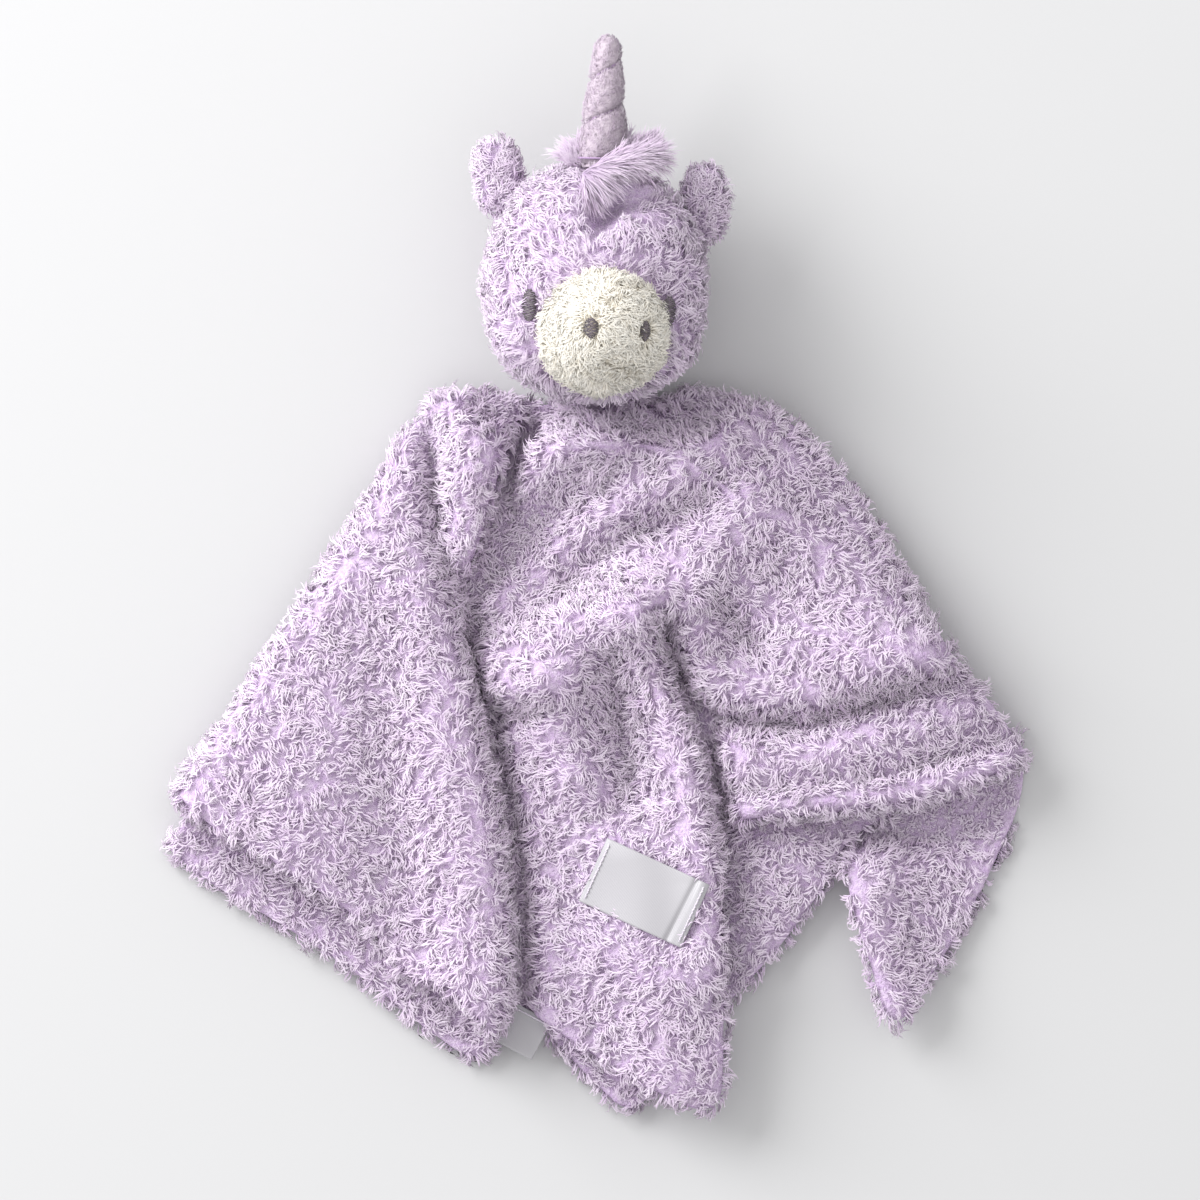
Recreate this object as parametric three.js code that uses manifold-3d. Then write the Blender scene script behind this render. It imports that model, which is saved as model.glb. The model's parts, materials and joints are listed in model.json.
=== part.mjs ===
// Comfort blanket lovey, lying on its back: a square of curly plush gathered under a stuffed unicorn head.
// Millimetres. +Z is up from the table and +Y runs from the blanket's hem to the tip of the horn.
import * as THREE from "three";
import { mergeVertices } from "three/addons/utils/BufferGeometryUtils.js";
import Module from "manifold-3d";

const wasm = await Module();
wasm.setup();

// Blanket: a square of two-sided plush, held at its centre
const blanketSide = 356;
const plushThickness = 8;
const rimRadius = 4.5;
const rollRadius = 10;

// Gaps: between pieces that are sewn together, and between pieces that move
const seamGap = 0.3;
const runningGap = 0.5;
const headClearance = 1.5;

// Head: its reaches from its middle out to the middle of the pile
const headAcross = 39;
const headUp = 46.5;
const headDown = 36.5;
const headFront = 33;
const headBack = 33;
const headSquareness = 2.3;
const headLeanDeg = -3;
const headAboveTable = 4;
const headSeamBehind = 6;
const coverThickness = 2.5;

// Muzzle: a cream cap on the front of the face
const muzzleAcross = 24.5;
const muzzleUp = 26;
const muzzleDown = 21;
const muzzleFront = 29;
const muzzleSideways = 3.1;
const muzzleBelow = 12.5;
const muzzleForward = 16;
const muzzleSquareness = 2.1;

// Embroidery: satin stitch over the pile
const stitchThickness = 1.2;
const eyeWidth = 7.4;
const eyeHeight = 12.6;
const eyeBelow = 4.8;
const leftEyeDeg = -38;
const rightEyeDeg = 44;
const nostrilWidth = 5.2;
const nostrilHeight = 6.8;
const nostrilBelow = 11.6;
const leftNostrilSideways = -0.6;
const rightNostrilSideways = 18;

// Ears: two panels each, folding about the seam at their foot
const earAcross = 8.4;
const earUp = 15;
const earDown = 13;
const earThick = 4.2;
const earSquareness = 2.5;
const earRise = 11;
const earBehind = 4;
const leftEarRoundDeg = 141;
const leftEarLeanDeg = 97;
const rightEarRoundDeg = 32;
const rightEarLeanDeg = 88;
const earFoldDeg = 25;

// Horn: a stuffed cone drawn in by a spiral of thread
const hornLength = 44;
const hornRadius = 8.6;
const hornTipRadius = 4.3;
const hornTipShare = 0.87;
const hornRoundDeg = 90;
const hornForward = 8;
const hornSink = 1.6;
const hornCover = 1.2;
const hornThreadRadius = 0.4;
const hornBendDeg = 20;
const hornTwistDeg = 30;
const grooveDepth = 1.9;
const grooveWidth = 2.2;
const groovePitch = 14.6;
const grooveStart = 2;
const grooveRoom = 0.35;
const threadStartTurns = 0.4;
const threadEndTurns = 2.4;

// Forelock: a tuft of long fur in front of the horn and one behind it
const frontTuftAcross = 17;
const frontTuftUp = 9.5;
const frontTuftThick = 6.5;
const frontTuftForward = 24;
const frontTuftRoundDeg = 79;
const frontTuftTurnDeg = 14;
const backTuftAcross = 14;
const backTuftUp = 7;
const backTuftThick = 4.5;
const backTuftBehind = 4;
const backTuftRoundDeg = 88;
const backTuftTurnDeg = 0;
const tuftSquareness = 2.2;

// Neck: the gathered centre of the blanket, and the two threads that join the head to it
const neckSideways = 3.9;
const neckBehind = 14;
const neckAcross = 17;
const neckUp = 4;
const neckDown = 30;
const neckFront = 12;
const neckBelow = 20;
const neckSquareness = 2.2;
const neckPleats = 6;
const pleatDepthShare = 0.07;
const neckRiseShare = 2;
const neckRiseWidthShare = 0.1;
const neckThreadRadius = 0.6;
const seamRingRadius = 11.2;
const seamStitches = 11;
const seamWave = 0.9;
const gatherRingRadius = seamRingRadius - 2 * neckThreadRadius - runningGap;
const headTurnDeg = 25;
const headNodDeg = 35;
const headTiltDeg = 15;

// Labels: woven satin, one sewn flat and one caught in the hem
const labelLength = 39;
const labelWidth = 24;
const labelThickness = 0.9;
const labelClearance = 0.7;
const labelTurnDeg = -24.5;
const labelStitchInset = 1.6;
const labelThreadRadius = 0.4;
const careWidth = 14;
const careLength = 15;
const careTurnDeg = -28;
const careFlapDeg = 60;

// How finely round forms are divided
const headRounds = 12;
const muzzleRounds = 10;
const embroideryRounds = 24;
const earRounds = 8;
const tuftRounds = 6;
const neckRounds = 8;
const clearanceRounds = 8;
const hornSides = 20;
const hornRings = 32;
const hornCoreSides = 12;
const hornCoreRings = 8;
const threadSides = 5;
const ringPieces = 28;
const threadPiecesPerTurn = 18;
const labelPieces = 8;
const neckSweepSteps = 2;
const bendSweepSteps = 4;
const foldSweepSteps = 6;
const flapSweepSteps = 8;

// How far cutting forms run past what they cut, and the least radius of a closed tip
const overrun = 2;
const leastTip = 0.3;

// Plush, fur, thread, satin and filling
const curlyPlush = { color: "#c9b4d4", roughness: 0.95, metalness: 0 };
const creamPlush = { color: "#f1eee6", roughness: 0.95, metalness: 0 };
const shortPlush = { color: "#d8c3dc", roughness: 0.85, metalness: 0 };
const silkyFur = { color: "#dccbe4", roughness: 0.7, metalness: 0 };
const darkThread = { color: "#5a5058", roughness: 0.55, metalness: 0 };
const lilacThread = { color: "#b79cc6", roughness: 0.6, metalness: 0 };
const whiteThread = { color: "#f4f2f6", roughness: 0.6, metalness: 0 };
const whiteSatin = { color: "#ecebf3", roughness: 0.4, metalness: 0 };
const fibreFilling = { color: "#f7f7f7", roughness: 1, metalness: 0 };

// The drape seen from above, in pixels. A corner of the square lies this many of them from the neck.
const cornerReachPixels = 725;
const neckPixels = [600, 396];
const labelPixels = [644, 892];
const carePixels = [534, 1012];
const millimetresPerPixel = (blanketSide * Math.SQRT1_2) / cornerReachPixels;

const backSheetPixels = {
  neck: [[548, 402], [600, 412], [640, 394]],
  left: [[452, 412], [408, 450], [374, 510], [337, 580], [297, 645], [252, 705], [207, 765]],
  hem: [
    [158, 848], [205, 888], [283, 934], [360, 985], [430, 1040], [480, 1066], [512, 1018], [548, 1042],
    [590, 1086], [634, 1120], [664, 1079], [736, 1004], [789, 944], [828, 890], [862, 838], [960, 790],
    [1026, 752],
  ],
  right: [[740, 417], [800, 447], [846, 502], [885, 572], [924, 640], [978, 707]],
};
const cornerSheetPixels = {
  neck: [[862, 790], [950, 755], [1024, 724]],
  left: [[860, 822], [841, 866], [846, 910], [863, 965], [875, 1005]],
  hem: [[886, 1022], [899, 1025], [908, 1015]],
  right: [[1030, 770], [1022, 812], [1001, 860], [979, 905], [949, 955]],
};
const frontSheetPixels = {
  neck: [[566, 404], [602, 413], [642, 408], [690, 389]],
  left: [[525, 450], [485, 520], [448, 600], [436, 700], [446, 800], [464, 900]],
  hem: [
    [484, 980], [520, 1010], [562, 1040], [610, 1071], [660, 1100], [700, 1117], [723, 1105], [726, 1040],
    [723, 950], [719, 880], [738, 829], [800, 822], [880, 812], [940, 800], [1005, 778], [1036, 750],
  ],
  right: [[744, 397], [802, 422], [850, 470], [890, 530], [930, 600], [960, 650], [1000, 700]],
};
const leftPanelPixels = {
  neck: [[434, 403], [466, 391], [502, 389], [542, 402]],
  left: [
    [402, 432], [380, 470], [353, 516], [331, 552], [304, 592], [278, 628], [256, 662], [231, 702],
    [204, 738], [182, 768],
  ],
  hem: [
    [170, 796], [213, 833], [246, 850], [290, 880], [330, 905], [369, 936], [411, 981], [441, 990],
    [470, 1018], [500, 1052],
  ],
  right: [
    [518, 440], [499, 500], [484, 550], [464, 600], [466, 650], [480, 700], [491, 760], [505, 830],
    [512, 900], [515, 960], [513, 1010],
  ],
};

// Folds: a line in pixels, with its height as a share of the plush's thickness and its width as a share of
// the blanket's side.
const frontSheetFolds = [
  { pixels: [[640, 450], [575, 480], [530, 520]], heightShare: -0.35, widthShare: 0.025 },
  { pixels: [[660, 470], [550, 522], [500, 575]], heightShare: -0.45, widthShare: 0.025 },
  { pixels: [[705, 500], [624, 536], [566, 579], [505, 622]], heightShare: -0.45, widthShare: 0.025 },
  { pixels: [[730, 450], [640, 500], [520, 610]], heightShare: 0.3, widthShare: 0.03 },
  { pixels: [[760, 500], [690, 580], [540, 690]], heightShare: 0.5, widthShare: 0.045 },
  { pixels: [[645, 612], [680, 690], [692, 780]], heightShare: 0.75, widthShare: 0.03 },
  { pixels: [[560, 680], [575, 780]], heightShare: 0.5, widthShare: 0.03 },
  { pixels: [[612, 660], [632, 790]], heightShare: -0.4, widthShare: 0.02 },
  { pixels: [[640, 860], [655, 960], [680, 1060]], heightShare: 0.7, widthShare: 0.06 },
  { pixels: [[670, 641], [686, 690], [704, 726], [724, 815]], heightShare: -1.1, widthShare: 0.016 },
  { pixels: [[650, 596], [700, 590], [757, 640], [940, 655]], heightShare: 0.95, widthShare: 0.035 },
  { pixels: [[720, 605], [758, 643]], heightShare: -0.5, widthShare: 0.016 },
  { pixels: [[700, 700], [760, 722], [809, 721], [960, 672]], heightShare: -0.7, widthShare: 0.022 },
  { pixels: [[735, 765], [800, 765], [900, 735], [990, 705]], heightShare: 0.7, widthShare: 0.035 },
  { pixels: [[600, 430], [640, 470]], heightShare: 0.9, widthShare: 0.07 },
  { pixels: [[740, 440], [820, 520], [860, 600]], heightShare: 0.8, widthShare: 0.08 },
];
const leftPanelFolds = [
  { pixels: [[433, 425], [437, 480], [441, 545], [462, 610]], heightShare: -0.6, widthShare: 0.035 },
  { pixels: [[505, 410], [480, 480], [460, 550]], heightShare: 0.5, widthShare: 0.04 },
  { pixels: [[430, 620], [455, 760], [480, 900], [485, 1010]], heightShare: 0.6, widthShare: 0.05 },
  { pixels: [[400, 560], [340, 720], [290, 830]], heightShare: 0.4, widthShare: 0.08 },
  { pixels: [[385, 640], [395, 780], [420, 930]], heightShare: -0.25, widthShare: 0.04 },
];
const backSheetFolds = [
  { pixels: [[790, 850], [760, 930]], heightShare: 0.3, widthShare: 0.04 },
];
const cornerSheetFolds = [
  { pixels: [[862, 840], [858, 900], [885, 1005]], heightShare: 0.5, widthShare: 0.02 },
  { pixels: [[950, 800], [945, 900], [915, 990]], heightShare: 0.35, widthShare: 0.04 },
];

// The four layers, from the table up. Each lies on the layers under it, which are counted in thicknesses.
// A rolled edge, 0 for the left one and 1 for the right one, is where the cloth folds under itself.
const backSheet = {
  pixels: backSheetPixels,
  folds: backSheetFolds,
  underShare: 0,
  across: 16,
  along: 4,
};
const cornerSheet = {
  pixels: cornerSheetPixels,
  folds: cornerSheetFolds,
  underShare: 0.15,
  across: 5,
  along: 5,
};
const frontSheet = {
  pixels: frontSheetPixels,
  folds: frontSheetFolds,
  underShare: 0.95,
  across: 16,
  along: 14,
  rolledEdge: 1,
};
const leftPanel = {
  pixels: leftPanelPixels,
  folds: leftPanelFolds,
  underShare: 1.55,
  across: 10,
  along: 11,
  rolledEdge: 0,
};

const radians = THREE.MathUtils.degToRad;
const lerp = THREE.MathUtils.lerp;
const clamp = THREE.MathUtils.clamp;
const xAxis = new THREE.Vector3(1, 0, 0);
const yAxis = new THREE.Vector3(0, 1, 0);
const zAxis = new THREE.Vector3(0, 0, 1);
const quarterTurn = Math.PI / 2;
const fullTurn = 2 * Math.PI;

// Even steps from one value to another.
function steps(from, to, count) {
  return Array.from({ length: count + 1 }, (unused, i) => lerp(from, to, i / count));
}

// Solids
// A closed geometry as a solid that can be joined and cut.
function solidOf(geometry, matrix = new THREE.Matrix4()) {
  const bare = new THREE.BufferGeometry();
  bare.setAttribute("position", geometry.getAttribute("position").clone());
  if (geometry.index) bare.setIndex(geometry.index.clone());
  bare.applyMatrix4(matrix);
  const merged = mergeVertices(bare);
  const mesh = new wasm.Mesh({
    numProp: 3,
    vertProperties: merged.getAttribute("position").array,
    triVerts: new Uint32Array(merged.index.array),
  });
  return new wasm.Manifold(mesh);
}

// The largest body of a solid, without the sealed pockets that folds can close.
function outerBody(solid) {
  const bodies = solid.decompose().filter((body) => body.volume() > 0);
  return bodies.sort((a, b) => b.volume() - a.volume())[0];
}

function geometryOf(solid) {
  const mesh = solid.getMesh();
  const geometry = new THREE.BufferGeometry();
  geometry.setAttribute("position", new THREE.BufferAttribute(mesh.vertProperties, mesh.numProp));
  geometry.setIndex(new THREE.BufferAttribute(mesh.triVerts, 1));
  geometry.computeVertexNormals();
  return geometry;
}

function meshOf(name, solid, finish) {
  const mesh = new THREE.Mesh(geometryOf(solid), new THREE.MeshStandardMaterial(finish));
  mesh.name = name;
  return mesh;
}

function indexedGeometry(positions, index) {
  const geometry = new THREE.BufferGeometry();
  geometry.setAttribute("position", new THREE.Float32BufferAttribute(positions, 3));
  geometry.setIndex(index);
  return geometry;
}

function boxSolid(low, high) {
  const size = new THREE.Vector3().subVectors(high, low);
  const middle = new THREE.Vector3().lerpVectors(low, high, 1 / 2);
  return solidOf(new THREE.BoxGeometry(...size.toArray()), new THREE.Matrix4().setPosition(middle));
}

// A turn about an axis through a point.
function turnAbout(point, axis, degrees) {
  const there = new THREE.Matrix4().makeTranslation(point.x, point.y, point.z);
  const back = new THREE.Matrix4().makeTranslation(-point.x, -point.y, -point.z);
  const turn = new THREE.Matrix4().makeRotationAxis(axis, radians(degrees));
  return there.multiply(turn).multiply(back);
}

// Every combination of turns about axes through a point, where each axis carries the ones after it.
function turnsAbout(point, axes) {
  let turns = [new THREE.Matrix4()];
  for (const [axis, degrees] of axes) {
    const further = degrees.map((angle) => turnAbout(point, axis, angle));
    turns = turns.flatMap((before) => further.map((turn) => before.clone().multiply(turn)));
  }
  return turns;
}

// The space that a geometry takes up in all of these turns.
function swept(geometry, matrix, turns) {
  const copies = turns.map((turn) => solidOf(geometry, turn.clone().multiply(matrix)));
  return copies.reduce((space, copy) => space.add(copy));
}

// Stuffed forms: |x / across|^p + |y / up or down|^p + |z / front or back|^p = 1, where p is the
// squareness.
function alongY(form, y) {
  return y > 0 ? form.up : form.down;
}

function alongZ(form, z) {
  return z > 0 ? form.front : form.back;
}

function stuffedReach(form, direction) {
  const sum =
    Math.abs(direction.x / form.across) ** form.squareness +
    Math.abs(direction.y / alongY(form, direction.y)) ** form.squareness +
    Math.abs(direction.z / alongZ(form, direction.z)) ** form.squareness;
  return sum ** (-1 / form.squareness);
}

function grown(form, by) {
  const larger = { ...form };
  for (const reach of ["across", "up", "down", "front", "back"]) larger[reach] += by;
  return larger;
}

function stuffedGeometry(form, rounds) {
  const geometry = new THREE.SphereGeometry(1, 2 * rounds, rounds);
  const position = geometry.getAttribute("position");
  const point = new THREE.Vector3();
  for (let i = 0; i < position.count; i++) {
    point.fromBufferAttribute(position, i).normalize();
    point.multiplyScalar(stuffedReach(form, point));
    position.setXYZ(i, ...point.toArray());
  }
  return geometry;
}

function stuffedSolid(form, rounds, matrix = new THREE.Matrix4()) {
  return solidOf(stuffedGeometry(form, rounds), matrix);
}

// The surface point at an angle round +Z and a distance in front of the form's middle.
function surfacePoint(form, roundDeg, forward) {
  const flat = new THREE.Vector3(Math.cos(radians(roundDeg)), Math.sin(radians(roundDeg)), 0);
  const share = 1 - Math.abs(forward / alongZ(form, forward)) ** form.squareness;
  return flat.multiplyScalar(stuffedReach(form, flat) * share ** (1 / form.squareness)).setZ(forward);
}

// The surface point in front of a place on the face.
function facePoint(form, x, y) {
  const across = Math.abs(x / form.across) ** form.squareness;
  const up = Math.abs(y / alongY(form, y)) ** form.squareness;
  return new THREE.Vector3(x, y, form.front * (1 - across - up) ** (1 / form.squareness));
}

function surfaceNormal(form, point) {
  const power = form.squareness - 1;
  const slope = (value, reach) => (Math.sign(value) * Math.abs(value / reach) ** power) / reach;
  const x = slope(point.x, form.across);
  const y = slope(point.y, alongY(form, point.y));
  return new THREE.Vector3(x, y, slope(point.z, alongZ(form, point.z))).normalize();
}

const head = {
  across: headAcross,
  up: headUp,
  down: headDown,
  front: headFront,
  back: headBack,
  squareness: headSquareness,
};
const muzzle = {
  across: muzzleAcross,
  up: muzzleUp,
  down: muzzleDown,
  front: muzzleFront,
  back: muzzleForward,
  squareness: muzzleSquareness,
};
const ear = {
  across: earAcross,
  up: earUp,
  down: earDown,
  front: earThick,
  back: earThick,
  squareness: earSquareness,
};
const frontTuft = {
  across: frontTuftAcross,
  up: frontTuftUp,
  down: frontTuftUp,
  front: frontTuftThick,
  back: frontTuftThick,
  squareness: tuftSquareness,
};
const backTuft = {
  across: backTuftAcross,
  up: backTuftUp,
  down: backTuftUp,
  front: backTuftThick,
  back: backTuftThick,
  squareness: tuftSquareness,
};
const neckForm = {
  across: neckAcross,
  up: neckUp,
  down: neckDown,
  front: neckFront,
  back: neckBelow,
  squareness: neckSquareness,
};

// Places. The neck is on the underside of the head, and in plan the drape is laid out from it.
const chinDeg = THREE.MathUtils.radToDeg(Math.atan2(-headDown, neckSideways));
const neckInHead = surfacePoint(head, chinDeg, -neckBehind);
const headLean = new THREE.Matrix4().makeRotationZ(radians(headLeanDeg));
const headPlace = neckInHead.clone().negate().applyMatrix4(headLean).setZ(headBack + headAboveTable);
const headMatrix = headLean.clone().setPosition(headPlace);
const neckPoint = neckInHead.clone().applyMatrix4(headMatrix);
const muzzlePlace = new THREE.Vector3(muzzleSideways, -muzzleBelow, muzzleForward);
const muzzleMatrix = new THREE.Matrix4().setPosition(muzzlePlace);
const hornBase = surfacePoint(head, hornRoundDeg, hornForward);
const hornMatrix = new THREE.Matrix4().setPosition(hornBase);

// Threads
// A thread with two ends.
function threadGeometry(points, radius, pieces) {
  const corners = steps(0, fullTurn, threadSides).slice(1);
  const circle = new THREE.Shape(
    corners.map((angle) => new THREE.Vector2(radius * Math.cos(angle), radius * Math.sin(angle))),
  );
  const path = new THREE.CatmullRomCurve3(points);
  return new THREE.ExtrudeGeometry(circle, { steps: pieces, extrudePath: path });
}

// A thread round the line of +Y.
function ringGeometry(radius, thickness) {
  return new THREE.TorusGeometry(radius, thickness, threadSides, ringPieces).rotateX(quarterTurn);
}

// A ladder stitch round the line of +Y, which crosses from one edge of the seam to the other.
function ladderGeometry(radius, thickness) {
  const points = [];
  const count = 4 * seamStitches;
  for (let i = 0; i < count; i++) {
    const angle = (fullTurn * i) / count;
    const across = seamWave * Math.sin(seamStitches * angle);
    points.push(new THREE.Vector3(radius * Math.cos(angle), across, radius * Math.sin(angle)));
  }
  const path = new THREE.CatmullRomCurve3(points, true);
  return new THREE.TubeGeometry(path, count, thickness, threadSides, true);
}

// Drape
function onTable(pixels) {
  const x = (pixels[0] - neckPixels[0]) * millimetresPerPixel;
  const y = (neckPixels[1] - pixels[1]) * millimetresPerPixel;
  return new THREE.Vector2(x, y);
}

function splineThrough(pixels) {
  return new THREE.SplineCurve(pixels.map(onTable));
}

function distanceToLine(place, line) {
  let least = Infinity;
  for (let i = 1; i < line.length; i++) {
    const along = new THREE.Vector2().subVectors(line[i], line[i - 1]);
    const out = new THREE.Vector2().subVectors(place, line[i - 1]);
    const share = clamp(out.dot(along) / along.lengthSq(), 0, 1);
    least = Math.min(least, out.addScaledVector(along, -share).length());
  }
  return least;
}

// The height of a layer's upper surface at a place: the layers under it and its own thickness, each fold
// as height * exp(-(distance / width)^2), and the rise to the neck of the layers that cover the bottom one.
function layerTop(layer, place) {
  let top = (layer.underShare + 1) * plushThickness;
  for (const fold of layer.folds) {
    const line = fold.pixels.map(onTable);
    const away = distanceToLine(place, line) / (fold.widthShare * blanketSide);
    top += fold.heightShare * plushThickness * Math.exp(-away * away);
  }
  if (layer.underShare === 0) return top;
  const away = place.length() / (neckRiseWidthShare * blanketSide);
  return top + neckRiseShare * plushThickness * Math.exp(-away * away);
}

// A layer in plan, as the Coons patch of its four edges: across runs from left to right and along runs
// from the neck to the hem.
function layerPlan(pixels) {
  const { neck, left, hem, right } = pixels;
  const neckEdge = splineThrough(neck);
  const hemEdge = splineThrough(hem);
  const leftEdge = splineThrough([neck[0], ...left, hem[0]]);
  const rightEdge = splineThrough([neck.at(-1), ...right, hem.at(-1)]);
  const corners = [neck[0], neck.at(-1), hem[0], hem.at(-1)].map(onTable);
  const at = (across, along) => {
    const place = new THREE.Vector2();
    place.addScaledVector(neckEdge.getPointAt(across), 1 - along);
    place.addScaledVector(hemEdge.getPointAt(across), along);
    place.addScaledVector(leftEdge.getPointAt(along), 1 - across);
    place.addScaledVector(rightEdge.getPointAt(along), across);
    place.addScaledVector(corners[0], -(1 - across) * (1 - along));
    place.addScaledVector(corners[1], -across * (1 - along));
    place.addScaledVector(corners[2], -(1 - across) * along);
    place.addScaledVector(corners[3], -across * along);
    return place;
  };
  const width = (along) => leftEdge.getPointAt(along).distanceTo(rightEdge.getPointAt(along));
  const length = lerp(leftEdge.getLength(), rightEdge.getLength(), 1 / 2);
  return { at, width, length };
}

// The shares at which a layer is divided: a rim at each edge and even steps between them.
function divisions(count, firstRimShare, lastRimShare) {
  return [0, ...steps(firstRimShare, 1 - lastRimShare, count - 2), 1];
}

function rimShare(radius, length) {
  const widestShare = 0.22;
  return Math.min(radius / length, widestShare);
}

// One layer as a closed solid. Its top follows the folds, its rim lies halfway down its own thickness, or
// halfway to the table where it rolls under, and it is filled down to the flat of the table.
function layerGeometry(layer) {
  const plan = layerPlan(layer.pixels);
  const { across, along, rolledEdge } = layer;
  const positions = [];
  const topAt = [];
  const bottomAt = [];
  const hemShare = rimShare(rimRadius, plan.length);
  const leftRadius = rolledEdge === 0 ? rollRadius : rimRadius;
  const rightRadius = rolledEdge === 1 ? rollRadius : rimRadius;
  divisions(along, hemShare, hemShare).forEach((alongShare, j) => {
    const width = plan.width(alongShare);
    const leftShare = rimShare(leftRadius, width);
    const rightShare = rimShare(rightRadius, width);
    divisions(across, leftShare, rightShare).forEach((acrossShare, i) => {
      const place = plan.at(acrossShare, alongShare);
      const top = layerTop(layer, place);
      const onRim = i === 0 || i === across || j === 0 || j === along;
      const rimHeight = acrossShare === rolledEdge ? top / 2 : top - plushThickness / 2;
      topAt.push(positions.length / 3);
      positions.push(place.x, place.y, onRim ? rimHeight : top);
      bottomAt.push(positions.length / 3 - (onRim ? 1 : 0));
      if (!onRim) positions.push(place.x, place.y, 0);
    });
  });
  const index = [];
  const row = across + 1;
  for (let j = 0; j < along; j++) {
    for (let i = 0; i < across; i++) {
      const corners = [j * row + i, j * row + i + 1, (j + 1) * row + i + 1, (j + 1) * row + i];
      const [a, b, c, d] = corners.map((corner) => topAt[corner]);
      const [e, f, g, h] = corners.map((corner) => bottomAt[corner]);
      index.push(a, c, b, a, d, c, e, f, g, e, g, h);
    }
  }
  return indexedGeometry(positions, index);
}

// The gathered centre of the blanket: it flares from the neck down into the drape, with pleats round it.
function neckGeometry() {
  const geometry = stuffedGeometry(neckForm, neckRounds);
  const position = geometry.getAttribute("position");
  for (let i = 0; i < position.count; i++) {
    const angle = Math.atan2(position.getZ(i), position.getX(i));
    const share = 1 - pleatDepthShare + pleatDepthShare * Math.cos(neckPleats * angle);
    position.setX(i, position.getX(i) * share);
    position.setZ(i, position.getZ(i) * share);
  }
  return geometry;
}

// The round hollow in the neck for the two threads.
function neckHollow(point) {
  const radius = Math.hypot(seamRingRadius, seamWave) + neckThreadRadius + runningGap;
  const ball = new THREE.SphereGeometry(radius, 2 * neckRounds, neckRounds);
  return solidOf(ball, new THREE.Matrix4().setPosition(point));
}

// The space that the head needs as it turns, nods and tilts.
function headSpace() {
  const turns = turnsAbout(neckPoint, [
    [yAxis, steps(-headTurnDeg, headTurnDeg, neckSweepSteps)],
    [xAxis, steps(0, headNodDeg, neckSweepSteps)],
    [zAxis, steps(-headTiltDeg, headTiltDeg, neckSweepSteps)],
  ]);
  const face = stuffedGeometry(grown(head, headClearance), clearanceRounds);
  const nose = stuffedGeometry(grown(muzzle, headClearance), clearanceRounds);
  const noseMatrix = headMatrix.clone().multiply(muzzleMatrix);
  return swept(face, headMatrix, turns).add(swept(nose, noseMatrix, turns));
}

function makeBlanket() {
  let solid = solidOf(neckGeometry(), new THREE.Matrix4().setPosition(neckPoint));
  for (const layer of [backSheet, cornerSheet, frontSheet, leftPanel]) {
    solid = solid.add(solidOf(layerGeometry(layer)));
  }
  const low = new THREE.Vector3(-blanketSide, -blanketSide, -blanketSide);
  const high = new THREE.Vector3(blanketSide, blanketSide, 0);
  solid = solid.subtract(boxSolid(low, high)).subtract(headSpace());
  return outerBody(solid.subtract(neckHollow(neckPoint)).subtract(careSpace()));
}

// Labels
function labelMatrix(pixels, turnDeg, height) {
  const place = onTable(pixels);
  const turn = new THREE.Matrix4().makeRotationZ(radians(turnDeg));
  return turn.setPosition(place.x, place.y, height);
}

function heightOf(blanket, x, y) {
  const ray = new THREE.Raycaster(new THREE.Vector3(x, y, blanketSide), zAxis.clone().negate());
  return ray.intersectObject(blanket)[0].point.z;
}

// The woven label follows the front of the blanket, just above the middle of its pile.
function makeLabel(blanket) {
  const pieces = [labelPieces, labelPieces / 2, 1];
  const geometry = new THREE.BoxGeometry(labelLength, labelWidth, labelThickness, ...pieces);
  geometry.applyMatrix4(labelMatrix(labelPixels, labelTurnDeg, labelClearance + labelThickness / 2));
  const position = geometry.getAttribute("position");
  for (let i = 0; i < position.count; i++) {
    position.setZ(i, position.getZ(i) + heightOf(blanket, position.getX(i), position.getY(i)));
  }
  const raised = new THREE.Matrix4().makeTranslation(0, 0, seamGap);
  return outerBody(solidOf(geometry).subtract(solidOf(blanket.geometry, raised)));
}

// The thread across one end of the woven label.
function makeLabelThread(blanket, side) {
  const above = labelClearance + labelThickness + seamGap + labelThreadRadius;
  const matrix = labelMatrix(labelPixels, labelTurnDeg, above);
  const x = side * (labelLength / 2 - labelStitchInset);
  const half = labelWidth / 2 - labelStitchInset;
  const points = steps(-half, half, labelPieces).map((y) => {
    const point = new THREE.Vector3(x, y, 0).applyMatrix4(matrix);
    return point.setZ(point.z + heightOf(blanket, point.x, point.y));
  });
  return solidOf(threadGeometry(points, labelThreadRadius, labelPieces));
}

// The care label lies on the hem that it is caught in, and swings up about its upper edge.
const careMatrix = labelMatrix(carePixels, careTurnDeg, plushThickness + seamGap);
const careThreadRise = seamGap + 2 * labelThreadRadius;

function makeCareLabel() {
  const box = new THREE.BoxGeometry(careWidth, careLength, labelThickness);
  return solidOf(box.translate(0, -careLength / 2, labelThickness / 2), careMatrix);
}

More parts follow.
